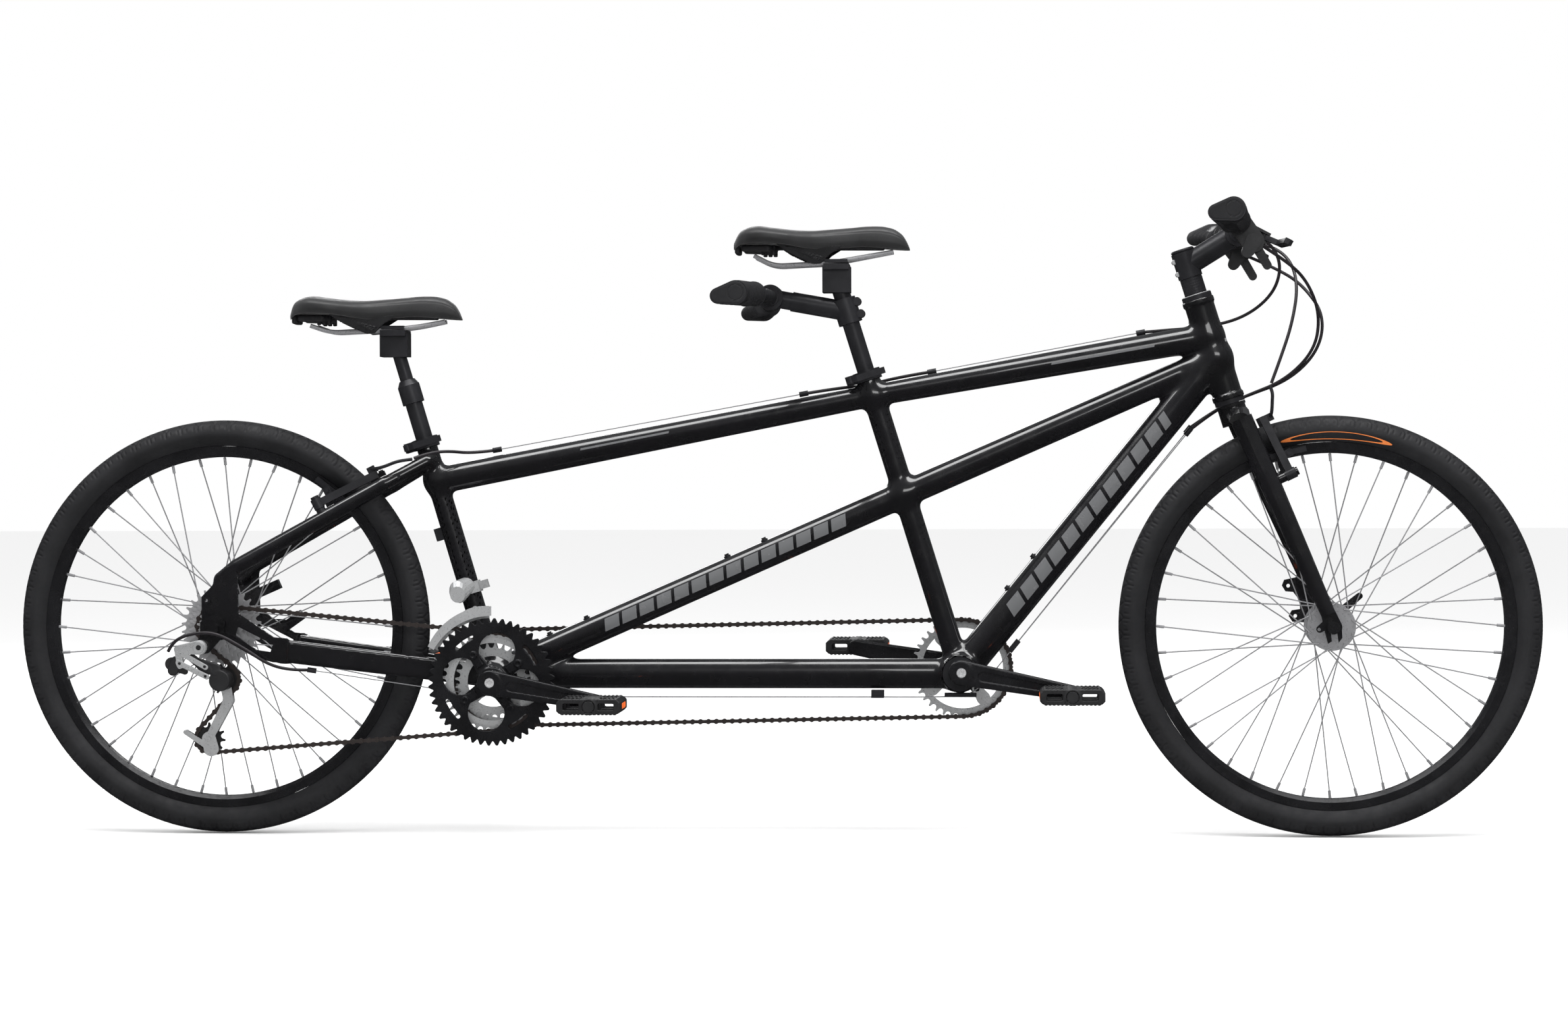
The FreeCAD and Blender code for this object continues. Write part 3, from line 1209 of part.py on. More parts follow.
STEM_CLAMP = (120.3, 823.0)
STOKER_BAR = (0.5, 845.0)
STOKER_BAR_END = (-32.0, 839.0)
STOKER_BAR_HALF = 294.0
captain_post_foot = along(CAPTAIN_SEAT_TOP, CAPTAIN_AXIS, -118.0)
captain_post_head = along(CAPTAIN_SEAT_TOP, CAPTAIN_AXIS, 142.0)
CAPTAIN_RAIL_Z = 897.0
STOKER_RAIL_Z = 797.0
RAIL_R = 3.5
RAIL_Y = 21.0


def post_head(top, rail_z):
    """Cradle under the saddle rails with a clamp plate over them."""
    x = top[0] - 4
    cradle = fuse([
        Part.makeBox(44, 36, rail_z - top[1] + 6, V(x - 22, -18, top[1] - 10)),
        Part.makeBox(40, 2 * RAIL_Y + 12, 9, V(x - 20, -RAIL_Y - 6, rail_z - 9)),
    ])
    lid = Part.makeBox(36, 2 * RAIL_Y + 10, 5.5, V(x - 18, -RAIL_Y - 5, rail_z + 1.5))
    bolt = cylinder(V(x, 0, top[1] - 14), V(x, 0, rail_z + 8), 3.0)
    return fuse([cradle, lid, bolt])


SADDLE_STATIONS = (
    # share of length from the tail, half width, top, bottom (from the saddle's highest line)
    (0.0, 34.0, -22.0, -30.0), (0.07, 62.0, -6.0, -40.0), (0.2, 76.0, 0.0, -46.0), (0.36, 66.0, -4.0, -50.0),
    (0.52, 40.0, -8.0, -50.0), (0.7, 27.0, -9.0, -46.0), (0.9, 21.0, -11.0, -40.0), (1.0, 13.0, -22.0, -34.0),
)


def saddle_shell(tail_x, nose_x, top_z):
    sections = []
    for share, hw, top, bottom in SADDLE_STATIONS:
        x = tail_x + (nose_x - tail_x) * share
        t = top_z + top
        b = top_z + bottom
        half = [(hw * 0.55, b), (hw, b + (t - b) * 0.35), (hw * 0.94, t - (t - b) * 0.28), (hw * 0.5, t - 1.5)]
        right = [V(x, y, z) for y, z in half]
        left = [V(x, -y, z) for y, z in reversed(half)]
        sections.append(right + left)
    return Part.makeLoft([Part.makePolygon(s + s[:1]) for s in sections], True, True)


def saddle_rails(tail_x, nose_x, top_z, rail_z):
    rails = []
    for side in (-1, 1):
        y = side * RAIL_Y
        points = [
            V(tail_x + 32, side * 30, top_z - 47), V(tail_x + 62, y, rail_z - 3), V(tail_x + 150, y, rail_z + 1),
            V(tail_x + 196, side * 15, top_z - 50), V(nose_x - 26, side * 8, top_z - 41),
        ]
        rails.append(cable(points, RAIL_R))
    return rails


def saddle(prefix, tail_x, nose_x, top_z, rail_z, head):
    shell = saddle_shell(tail_x, nose_x, top_z)
    rails = saddle_rails(tail_x, nose_x, top_z, rail_z)
    head_cut = cut(head, rails)
    shell = cut(shell, rails + [head])
    save(f"{prefix}_saddle", [biggest(shell)])
    save(f"{prefix}_saddle_rails", rails)
    return biggest(head_cut)


captain_head = post_head((captain_post_head[0], captain_post_head[1]), CAPTAIN_RAIL_Z)
captain_post = ring(at(captain_post_foot), at(captain_post_head), SEATPOST_R, SEATPOST_R - TUBE_WALL)
captain_head = saddle("captain", -55.5, 219.3, 956.5, CAPTAIN_RAIL_Z, captain_head)
captain_post = fuse([captain_post, captain_head])
save("captain_seatpost", [captain_post])

clamp_low = along(STEM_CLAMP, CAPTAIN_AXIS, -20.0)
clamp_high = along(STEM_CLAMP, CAPTAIN_AXIS, 20.0)
sleeve_end = along(STEM_CLAMP, unit(STEM_CLAMP, STOKER_BAR), 88.0)
stoker_stem = fuse([
    cylinder(at(clamp_low), at(clamp_high), 19.0),
    cylinder(at(STEM_CLAMP), at(sleeve_end), 15.5),
    cylinder(at(sleeve_end), at(STOKER_BAR), 14.0),
    disc(STOKER_BAR, -20, 20, 20.0),
    disc(local(STEM_CLAMP, CAPTAIN_AXIS, 20, 10), -12, 12, 6.5),
    disc(local(STEM_CLAMP, CAPTAIN_AXIS, 20, -10), -12, 12, 6.5),
])
post_core = cylinder(at(captain_post_foot), at(captain_post_head), SEATPOST_R)
stoker_stem = cut(stoker_stem, [post_core, disc(STOKER_BAR, -30, 30, 14.0)])
save("stoker_stem", [biggest(stoker_stem)])
stoker_bar = handlebar(STOKER_BAR, STOKER_BAR_END, STOKER_BAR_HALF, 14.0)
save("stoker_handlebar", [stoker_bar] + grips(STOKER_BAR, STOKER_BAR_END, STOKER_BAR_HALF))

stoker_post_foot = along(STOKER_SEAT_TOP, STOKER_AXIS, -105.0)
collar_low = along(STOKER_SEAT_TOP, STOKER_AXIS, 61.0)
collar_high = along(STOKER_SEAT_TOP, STOKER_AXIS, 90.0)
collar_dome = along(STOKER_SEAT_TOP, STOKER_AXIS, 99.0)
stoker_post_head = along(STOKER_SEAT_TOP, STOKER_AXIS, 148.0)
SHAFT_R = 10.5
post_tube = fuse([
    cylinder(at(stoker_post_foot), at(collar_low), SEATPOST_R),
    cylinder(at(collar_low), at(collar_high), 17.5),
    cone(at(collar_high), at(collar_dome), 17.5, 12.5),
])
shaft_foot = along(stoker_post_foot, STOKER_AXIS, 45.0)
post_tube = post_tube.cut(cylinder(at(stoker_post_foot), at(collar_dome), SHAFT_R + RUN_GAP))
save("stoker_post_tube", [post_tube])
stoker_head = post_head((stoker_post_head[0], stoker_post_head[1]), STOKER_RAIL_Z)
stoker_head = saddle("stoker", -759.0, -490.0, 851.5, STOKER_RAIL_Z, stoker_head)
stoker_shaft = fuse([cylinder(at(shaft_foot), at(stoker_post_head), SHAFT_R), stoker_head])
save("stoker_post_shaft", [stoker_shaft])

# Seat collars with their quick-release levers.
LEVER_PIVOT_BACK = -27.0
LEVER_PIVOT_Y = -18.0


def collar(top, axis, tube_r):
    f, u = seat_frame(axis)
    o = at(top)
    band = ring(o - u * 13, o + u * 3, tube_r + 4.5, tube_r)
    lip = ring(o, o + u * 3, tube_r + 1, SEATPOST_R + 1.0)
    lug = oriented_box(o + f * (-tube_r - 8) - u * 5, f, V(0, 1, 0), u, 18, 18, 15)
    lug = lug.cut(cylinder(o - u * 20, o + u * 20, tube_r))
    skewer = cylinder(o + f * LEVER_PIVOT_BACK - u * 5 - V(0, 11, 0), o + f * LEVER_PIVOT_BACK - u * 5 + V(0, 15, 0), 3)
    nut = cylinder(o + f * LEVER_PIVOT_BACK - u * 5 + V(0, 9, 0), o + f * LEVER_PIVOT_BACK - u * 5 + V(0, 15, 0), 6)
    return fuse([band, lip, lug, skewer, nut])


def collar_lever(top, axis):
    f, u = seat_frame(axis)
    o = at(top) - u * 5
    pivot = o + f * LEVER_PIVOT_BACK + V(0, LEVER_PIVOT_Y, 0)
    cam = cylinder(pivot - u * 5, pivot + u * 5, 6.4)
    points = [
        o + f * (LEVER_PIVOT_BACK - 4) + V(0, -20, 0), o + f * (LEVER_PIVOT_BACK + 5) + V(0, -20, 0),
        o + f * -14 + V(0, -25, 0), o + f * 27 + V(0, -25, 0), o + f * 30 + V(0, -29, 0),
        o + f * -16 + V(0, -29, 0),
    ]
    blade = polygon_prism([p - u * 5 for p in points], u * 10)
    print("collar lever pivot", pivot, "axis", u)
    return cam.fuse(blade).removeSplitter()


save("captain_seat_lever", [collar_lever(CAPTAIN_SEAT_TOP, CAPTAIN_AXIS)])
save("stoker_seat_lever", [collar_lever(STOKER_SEAT_TOP, STOKER_AXIS)])

# ---- front derailleur ---------------------------------------------------------------------------------------------------
FD_CLAMP = along(REAR_CRANK, STOKER_AXIS, 151.0)
FD_INNER_R = 104.0
FD_OUTER_R = 119.0
FD_PLATE = 1.4
fd_f, fd_u = seat_frame(STOKER_AXIS)
fd_o = at(FD_CLAMP)
fd_band = ring(fd_o - fd_u * 9, fd_o + fd_u * 9, STOKER_TUBE_R + 3.5, STOKER_TUBE_R)
fd_ear = oriented_box(fd_o + fd_f * 25 - V(0, 4, 0), fd_f, V(0, 1, 0), fd_u, 14, 12, 13)
fd_ear = fd_ear.cut(cylinder(fd_o - fd_u * 20, fd_o + fd_u * 20, STOKER_TUBE_R))
fd_body = loft([
    oval_section(fd_o + V(-4, -19, 4), V(0.95, 0, 0.3), V(-0.3, 0, 0.95), 15, 14),
    oval_section(fd_o + V(-12, -38, -4), V(0.95, 0, 0.3), V(-0.3, 0, 0.95), 14, 18),
    oval_section(fd_o + V(-12, -46, -8), V(0.95, 0, 0.3), V(-0.3, 0, 0.95), 12, 13),
])
fd_arm = oriented_box(fd_o + V(-34, -34, -8), V(0.95, 0, 0.3), V(0, 1, 0), V(-0.3, 0, 0.95), 16, 14, 22)
fd_bolt = cylinder(fd_o + V(-38, -41, -5), fd_o + V(-38, -46, -5), 5)
fd_all = fuse([fd_band, fd_ear, fd_body, fd_arm, fd_bolt])
fd_all = cut(fd_all, [
    cylinder(at(REAR_CRANK), at(STOKER_SEAT_TOP), STOKER_TUBE_R),
    disc(REAR_CRANK, -70, -17.5, FD_OUTER_R + 5.5),
])
save("front_derailleur", [biggest(fd_all)])


def sector(inner_r, outer_a, outer_b, a0, a1, y0, y1):
    """Curved cage plate round the crank axis; the outer edge tapers from one radius to another."""
    mid = (a0 + a1) / 2
    c = REAR_CRANK
    edges = [
        Part.Arc(at(polar(c, inner_r, a0), y0), at(polar(c, inner_r, mid), y0), at(polar(c, inner_r, a1), y0)).toShape(),
        Part.makeLine(at(polar(c, inner_r, a1), y0), at(polar(c, outer_b, a1), y0)),
        Part.Arc(
            at(polar(c, outer_b, a1), y0), at(polar(c, (outer_a + outer_b) / 2 + 1.5, mid), y0),
            at(polar(c, outer_a, a0), y0),
        ).toShape(),
        Part.makeLine(at(polar(c, outer_a, a0), y0), at(polar(c, inner_r, a0), y0)),
    ]
    return Part.Face(Part.Wire(edges)).extrude(V(0, y1 - y0, 0))


fd_out = big_y - 0.5
fd_in = DRIVE_Y + 7.5
fd_cage = fuse([
    sector(FD_INNER_R, FD_OUTER_R, FD_INNER_R + 11, 90, 151, fd_out - FD_PLATE, fd_out),
    sector(FD_INNER_R - 4, FD_OUTER_R, FD_INNER_R + 11, 93, 151, fd_in, fd_in + FD_PLATE),
    sector(FD_OUTER_R - 3, FD_OUTER_R, FD_OUTER_R, 96, 112, fd_out - FD_PLATE, fd_in + FD_PLATE),
    sector(FD_INNER_R + 2, FD_INNER_R + 10, FD_INNER_R + 8, 148, 150.5, fd_out - FD_PLATE, fd_in + FD_PLATE),
    disc(polar(REAR_CRANK, FD_OUTER_R - 1, 104), fd_in, fd_in + 6.0, 4.0),
])
save("front_derailleur_cage", [fd_cage])

# ---- cables --------------------------------------------------------------------------------------------------------------
HOUSING_R = 2.5
WIRE_R = 0.8


def route(points, r, name):
    return cable([V(*p) for p in points], r, name)


BARREL_END = 36.0
right_exit = lever_pivot(-1) + V(0, BARREL_END + 2.6, 0)
left_exit = lever_pivot(1) - V(0, BARREL_END + 2.6, 0)
front_brake = route([
    left_exit, (775, 60, 930), (812, 25, 905), (823, -10, 860), (812, -34, 800), (793, -47, 745),
    (778.3, -48.5, 705.7),
], HOUSING_R, "front brake housing")
save("front_brake_cable", [front_brake])
rear_brake = route([
    right_exit, (780, -62, 918), (796, -30, 885), (785, 4, 845), (745, 34, 812), (690, 42, 797),
    (630, 26, 792), (583, 14, 788),
], HOUSING_R, "rear brake housing, front")


def shift_route(side, spread):
    start = at(bar_at(141), side * 138) + V(28.5, 0, -35.2)
    return [
        start, (804, side * 92, 888), (836, side * 40 - 12, 858), (857 + spread, -6, 812), (850 + spread, 6, 758),
        (806 + spread, 30, 712), (746, 44 + spread, 688), (700, 40 + spread, 668), (656, 16 + spread, 634 + spread / 2),
    ]


shift_right = route(shift_route(-1, 0.0), HOUSING_R, "right shift housing")
shift_left = route(shift_route(1, 6.5), HOUSING_R, "left shift housing")
save("steering_cables", [rear_brake, shift_right, shift_left])

REAR_STOP = (-724, -62, 262)
rear_loop = route([
    REAR_STOP, (-750, -72, 262), (-784, -92, 272), (-822, -101, 300), (-866, -105, 324), (-905, -104, 321),
    (-933, -100, 309), (-942, -93, 293),
], HOUSING_R, "rear derailleur housing")
brake_tail = route([
    (-440, 14, 607), (-476, 8, 602), (-512, -24, 606), (-540, -40, 602), (-559.6, -48.2, 594.5),
], HOUSING_R, "rear brake housing, rear")
seat_hop = route([(250, 14, 727.5), (190, 23, 718), (150, 27, 706), (110, 23, 704), (54, 12, 694.5)], HOUSING_R,
                 "rear brake housing, past the seat tube")
WIRES = {
    "brake wire, front": [(583, 14, 788), (250, 14, 727.5)],
    "brake wire, rear": [(54, 12, 694.5), (-440, 14, 607)],
    "shift wire one": [(656, 16, 634), (381, -6, 296), (322, -8, 222.5), (282, -8, 216.5), (167, -8, 216.5),
                       (-420, -8, 216.5), (-470, -30, 221), REAR_STOP],
    "shift wire two": [(656, 22.5, 637.25), (381, -2, 296), (322, -2, 222.5), (282, -2, 216.5), (167, -2, 216.5),
                       (-440, -2, 216.5)],
}
wires = []
for name, points in WIRES.items():
    wires.append(route(points, WIRE_R, name))
save("frame_cables", [rear_loop, brake_tail, seat_hop] + wires)

# ---- small frame fittings --------------------------------------------------------------------------------------------------
BOSS_R = 5.5


def bottle_boss(p, direction, tube_r):
    n = V(-direction[1], 0, direction[0])
    base = at(p) + n * (tube_r - 1.5)
    return fuse([cylinder(base, base + n * 3.0, BOSS_R), cylinder(base, base + n * 6.0, 3.6)])


down_dir = unit(FRONT_SHELL, LOWER_AT_HEAD)
diagonal_dir = unit(DIAGONAL_REAR, DIAGONAL_MIDDLE)
fittings = []
frame_solids = [
    down_solid, diagonal_rear_solid, diagonal_front_solid, top_front_solid, top_rear_solid,
    stoker_solid, captain_solid, chainstay, mirrored(chainstay), seatstay, mirrored(seatstay), boom_solid,
    front_shell_solid,
]
for distance in (150.0, 214.0):
    fittings.append(bottle_boss(along(FRONT_SHELL, down_dir, distance), down_dir, DOWN_TUBE_R))
for distance in (112.0, 176.0, 420.0, 484.0):
    fittings.append(bottle_boss(along(DIAGONAL_REAR, diagonal_dir, distance), diagonal_dir, 22.0))


def cable_stop(p, direction, length=14.0):
    d = V(*direction).normalize()
    start = V(*p) - d * 4
    foot = V(*p)
    return cylinder(start, foot + d * (length - 4), 4.2)


stops = [
    cable_stop((583, 14, 788), (-333, 0, -60.5)), cable_stop((250, 14, 727.5), (1, 0, 0.18)),
    cable_stop((54, 12, 694.5), (-1, 0, -0.18)), cable_stop((-440, 14, 607), (1, 0, 0.17)),
    cable_stop((656, 16, 634), (-275, -22, -338)), cable_stop((656, 22.5, 637.25), (-275, -24.5, -341)),
    cable_stop(REAR_STOP, (254, 32, -41)),
]
guide = [
    oriented_box(V(381, -4, 297), V(0.63, 0, 0.777), V(0, 1, 0), V(-0.777, 0, 0.63), 22, 18, 8),
    oriented_box(V(297, -5, 220), V(1, 0, 0), V(0, 1, 0), V(0, 0, 1), 50, 20, 6),
    oriented_box(V(167, -5, 221.5), V(1, 0, 0), V(0, 1, 0), V(0, 0, 1), 20, 18, 12),
]
rack_block = oriented_box(
    at(local(along(REAR_CRANK, STOKER_AXIS, 247), STOKER_AXIS, -21, 0)),
    V(STOKER_AXIS[1], 0, -STOKER_AXIS[0]), V(0, 1, 0), V(STOKER_AXIS[0], 0, STOKER_AXIS[1]), 12, 14, 20,
)
stay_screws = []
for side in (-1, 1):
    stay_screws.append(cylinder(V(-587, side * 30, 566), V(-587, side * 46, 566), 5.0))
cable_solids = [rear_brake, shift_right, shift_left, rear_loop, brake_tail, seat_hop] + wires
solids = []
for piece in fittings + guide + [rack_block] + stops + stay_screws:
    body = cut(piece, frame_solids + solids)
    body = cut(body, cable_solids)
    if body.Solids:
        solids.append(biggest(body))
collars = [
    collar(CAPTAIN_SEAT_TOP, CAPTAIN_AXIS, CAPTAIN_TUBE_R),
    collar(STOKER_SEAT_TOP, STOKER_AXIS, STOKER_TUBE_R),
]
rear_studs = [biggest(s.cut(seatstay).cut(mirrored(seatstay))) for s in brake_studs(BRAKES["rear"])]
save("frame_fittings", solids + collars + [stay_bridge] + rear_studs)
save("chains", lay_chain(DRIVE_ROLLERS, DRIVE_Y) + lay_chain(TIMING_ROLLERS, TIMING_Y))
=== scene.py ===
import json
import math

import bpy
import numpy as np
from mathutils import Matrix, Vector

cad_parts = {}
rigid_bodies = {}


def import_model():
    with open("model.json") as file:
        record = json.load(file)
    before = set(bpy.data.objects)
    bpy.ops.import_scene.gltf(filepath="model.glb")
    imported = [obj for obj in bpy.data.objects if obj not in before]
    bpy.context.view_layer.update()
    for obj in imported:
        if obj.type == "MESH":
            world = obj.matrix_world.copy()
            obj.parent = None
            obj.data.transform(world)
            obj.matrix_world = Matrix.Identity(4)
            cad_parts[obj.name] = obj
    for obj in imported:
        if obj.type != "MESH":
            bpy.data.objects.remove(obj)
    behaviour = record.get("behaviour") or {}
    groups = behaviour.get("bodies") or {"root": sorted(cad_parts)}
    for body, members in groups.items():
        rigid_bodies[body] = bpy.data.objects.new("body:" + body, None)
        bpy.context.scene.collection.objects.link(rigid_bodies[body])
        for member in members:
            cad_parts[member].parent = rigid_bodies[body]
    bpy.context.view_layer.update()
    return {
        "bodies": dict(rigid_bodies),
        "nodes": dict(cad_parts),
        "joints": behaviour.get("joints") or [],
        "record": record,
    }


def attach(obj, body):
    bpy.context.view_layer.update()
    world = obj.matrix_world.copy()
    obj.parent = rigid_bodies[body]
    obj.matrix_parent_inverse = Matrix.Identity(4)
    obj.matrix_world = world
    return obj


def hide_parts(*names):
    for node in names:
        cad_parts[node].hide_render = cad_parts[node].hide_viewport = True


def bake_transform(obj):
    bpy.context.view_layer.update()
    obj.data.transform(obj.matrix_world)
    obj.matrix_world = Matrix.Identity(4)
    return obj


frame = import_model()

# Tandem bicycle. Lengths in the modelling helpers are millimetres in the CAD's own frame;
# Blender meshes are made in metres. +X forward, +Y the riders' left, +Z up.

MM = 0.001
nodes = frame["nodes"]


# ---- camera, light and floor ---------------------------------------------------------
def add_camera():
    yaw, pitch, roll = -0.066509, -0.015142, -0.003479
    forward = Vector((math.sin(yaw) * math.cos(pitch), math.cos(yaw) * math.cos(pitch), math.sin(pitch)))
    level_right = Vector((math.cos(yaw), -math.sin(yaw), 0.0))
    level_up = level_right.cross(forward)
    right = math.cos(roll) * level_right + math.sin(roll) * level_up
    up = math.cos(roll) * level_up - math.sin(roll) * level_right
    data = bpy.data.cameras.new("camera")
    data.sensor_width = 36.0
    data.lens = 76.98
    data.clip_end = 60.0
    camera = bpy.data.objects.new("camera", data)
    bpy.context.collection.objects.link(camera)
    turn = Matrix((right, up, -forward)).transposed().to_4x4()
    camera.matrix_world = Matrix.Translation((0.37085, -5.2694, 0.58145)) @ turn
    bpy.context.scene.camera = camera


def area_light(name, place, target, width, height, power):
    data = bpy.data.lights.new(name, "AREA")
    data.shape = "RECTANGLE"
    data.size = width
    data.size_y = height
    data.energy = power
    light = bpy.data.objects.new(name, data)
    light.location = place
    aim = Vector(target) - Vector(place)
    light.rotation_euler = aim.to_track_quat("-Z", "Y").to_euler()
    bpy.context.collection.objects.link(light)


def add_world():
    """White to the eye and to matt surfaces; a darker studio, brighter overhead, in reflections."""
    world = bpy.data.worlds.new("studio")
    world.use_nodes = True
    tree = world.node_tree
    tree.nodes.clear()
    kinds = ["OutputWorld", "MixShader", "LightPath", "Background", "Background", "TexCoord",
             "SeparateXYZ", "MapRange"]
    made = [tree.nodes.new("ShaderNode" + kind) for kind in kinds]
    out, mix, path, studio, white, place, split, height = made
    studio.inputs["Color"].default_value = (0.95, 0.97, 1.0, 1.0)
    white.inputs["Color"].default_value = (1.0, 1.0, 1.0, 1.0)
    for key, value in (("From Min", -0.15), ("From Max", 0.9), ("To Min", 0.02), ("To Max", 0.22)):
        height.inputs[key].default_value = value
    tree.links.new(place.outputs["Generated"], split.inputs[0])
    tree.links.new(split.outputs[2], height.inputs["Value"])
    tree.links.new(height.outputs[0], studio.inputs["Strength"])
    tree.links.new(path.outputs["Is Glossy Ray"], mix.inputs[0])
    tree.links.new(white.outputs[0], mix.inputs[1])
    tree.links.new(studio.outputs[0], mix.inputs[2])
    tree.links.new(mix.outputs[0], out.inputs[0])
    bpy.context.scene.world = world


def add_floor():
    mesh = bpy.data.meshes.new("floor")
    mesh.from_pydata([(-25, -25, 0), (25, -25, 0), (25, 25, 0), (-25, 25, 0)], [], [(0, 1, 2, 3)])
    floor = bpy.data.objects.new("floor", mesh)
    floor.location.z = -0.001
    bpy.context.collection.objects.link(floor)
    mat = bpy.data.materials.new("floor_pale")
    mat.use_nodes = True
    shader = mat.node_tree.nodes["Principled BSDF"]
    shader.inputs["Base Color"].default_value = (0.93, 0.93, 0.93, 1)
    shader.inputs["Roughness"].default_value = 0.9
    shader.inputs["Specular IOR Level"].default_value = 0.1
    mesh.materials.append(mat)
    floor.visible_glossy = False


add_camera()
add_world()
add_floor()
area_light("overhead", (0.0, -0.9, 4.0), (0.0, 0.0, 0.2), 6.0, 1.6, 190)
area_light("front_fill", (1.4, -5.6, 2.6), (0.1, 0.0, 0.4), 3.0, 1.2, 45)
area_light("rear_fill", (-1.4, 5.0, 2.6), (0.0, 0.0, 0.4), 3.0, 1.2, 45)
bpy.context.scene.view_settings.view_transform = "Standard"


# ---- materials -----------------------------------------------------------------------
class Material:
    """A Principled material in object space, with helpers to add detail."""

    def __init__(self, name, color, roughness, metallic=0.0, coat=0.0, specular=0.5):
        self.mat = bpy.data.materials.new(name)
        self.mat.use_nodes = True
        self.tree = self.mat.node_tree
        self.shader = self.tree.nodes["Principled BSDF"]
        self.color = color
        self.shader.inputs["Base Color"].default_value = (*color, 1.0)
        self.shader.inputs["Roughness"].default_value = roughness
        self.shader.inputs["Metallic"].default_value = metallic
        self.shader.inputs["Coat Weight"].default_value = coat
        self.shader.inputs["Coat Roughness"].default_value = 0.04
        self.shader.inputs["Specular IOR Level"].default_value = specular
        self.space = self.tree.nodes.new("ShaderNodeTexCoord").outputs["Object"]
        self.base = None
        self.bump_normal = None

    def node(self, kind, inputs=(), **settings):
        made = self.tree.nodes.new(kind)
        for key, value in settings.items():
            setattr(made, key, value)
        for key, value in dict(inputs).items():
            if isinstance(value, bpy.types.NodeSocket):
                self.tree.links.new(value, made.inputs[key])
            else:
                made.inputs[key].default_value = value
        return made

    def noise(self, scale, detail=3.0, stretch=None):
        place = self.space
        if stretch:
            place = self.node("ShaderNodeMapping", {"Vector": place, "Scale": stretch}).outputs[0]
        inputs = {"Vector": place, "Scale": scale, "Detail": detail}
        return self.node("ShaderNodeTexNoise", inputs).outputs["Fac"]

    def ranged(self, value, low, high, start=0.3, end=0.7):
        return self.node("ShaderNodeMapRange", {
            "Value": value, "From Min": start, "From Max": end, "To Min": low, "To Max": high}).outputs[0]

    def math(self, operation, a, b=0.0):
        return self.node("ShaderNodeMath", {0: a, 1: b}, operation=operation).outputs[0]

    def along_line(self, start, end):
        """Distances, in metres, along and across the line from start to end in the XZ plane."""
        span = math.hypot(end[0] - start[0], end[1] - start[1])
        d = ((end[0] - start[0]) / span, (end[1] - start[1]) / span)
        x = self.math("SUBTRACT", self.axis(0), start[0])
        z = self.math("SUBTRACT", self.axis(2), start[1])
        along = self.math("ADD", self.math("MULTIPLY", x, d[0]), self.math("MULTIPLY", z, d[1]))
        across = self.math("SUBTRACT", self.math("MULTIPLY", z, d[0]), self.math("MULTIPLY", x, d[1]))
        return along, across

    def both(self, first, *others):
        for other in others:
            first = self.math("MULTIPLY", first, other)
        return first

    def bars(self, start, end, half_height, period):
        """Mask of slanted bars along a line on the tube's side."""
        along, across = self.along_line(start, end)
        span = math.hypot(end[0] - start[0], end[1] - start[1])
        lean = self.math("SUBTRACT", along, self.math("MULTIPLY", across, 0.35))
        gap = self.math("LESS_THAN", self.math("FRACT", self.math("DIVIDE", lean, period)), 0.82)
        inside = self.math("LESS_THAN", self.math("ABSOLUTE", across), half_height)
        return self.both(gap, inside, self.math("GREATER_THAN", lean, 0.0), self.math("LESS_THAN", lean, span))

    def axis(self, which):
        return self.node("ShaderNodeSeparateXYZ", {0: self.space}).outputs[which]

    def tint(self, mask, color):
        """Mixes color in where mask is 1."""
        mix = self.node("ShaderNodeMix", {"Factor": mask}, data_type="RGBA")
        if self.base is None:
            mix.inputs[6].default_value = (*self.color, 1.0)
        else:
            self.tree.links.new(self.base, mix.inputs[6])
        mix.inputs[7].default_value = (*color, 1.0)
        self.base = mix.outputs[2]
        self.tree.links.new(self.base, self.shader.inputs["Base Color"])
        return self

    def rough(self, value):
        self.tree.links.new(value, self.shader.inputs["Roughness"])
        return self

    def bump(self, height, distance, strength=1.0):
        made = self.node("ShaderNodeBump", {"Height": height, "Distance": distance, "Strength": strength})
        if self.bump_normal is not None:
            self.tree.links.new(self.bump_normal, made.inputs["Normal"])
        self.bump_normal = made.outputs[0]
        self.tree.links.new(self.bump_normal, self.shader.inputs["Normal"])
        return self


def gloss_paint(name="gloss_black_paint", decorated=False):
    m = Material(name, (0.0045, 0.0045, 0.005), 0.22, coat=1.0)
    m.tint(m.ranged(m.noise(9.0), 0.0, 1.0), (0.0065, 0.0062, 0.0075))
    m.rough(m.ranged(m.noise(55.0), 0.16, 0.3))
    m.bump(m.noise(900.0, 2.0), 0.00002)
    if decorated:
        decal = (0.11, 0.112, 0.116)
        m.tint(m.bars((-0.262, 0.3303), (0.12, 0.4967), 0.0095, 0.03), decal)
        m.tint(m.bars((0.375, 0.353), (0.62, 0.6542), 0.011, 0.034), decal)
        m.tint(m.bars((-0.3, 0.6076), (-0.16, 0.6343), 0.0016, 0.2), decal)
        m.tint(m.bars((0.44, 0.7382), (0.6, 0.7655), 0.0016, 0.2), decal)
    return m.mat


def anodised(name="black_anodised", color=(0.014, 0.014, 0.016), low=0.3, high=0.46):
    m = Material(name, color, 0.38, metallic=0.35, specular=0.45)
    m.tint(m.ranged(m.noise(24.0), 0.0, 1.0), tuple(c * 1.7 for c in color))
    m.rough(m.ranged(m.noise(130.0), low, high))
    m.bump(m.noise(1600.0, 2.0), 0.00003, 0.6)
    return m.mat


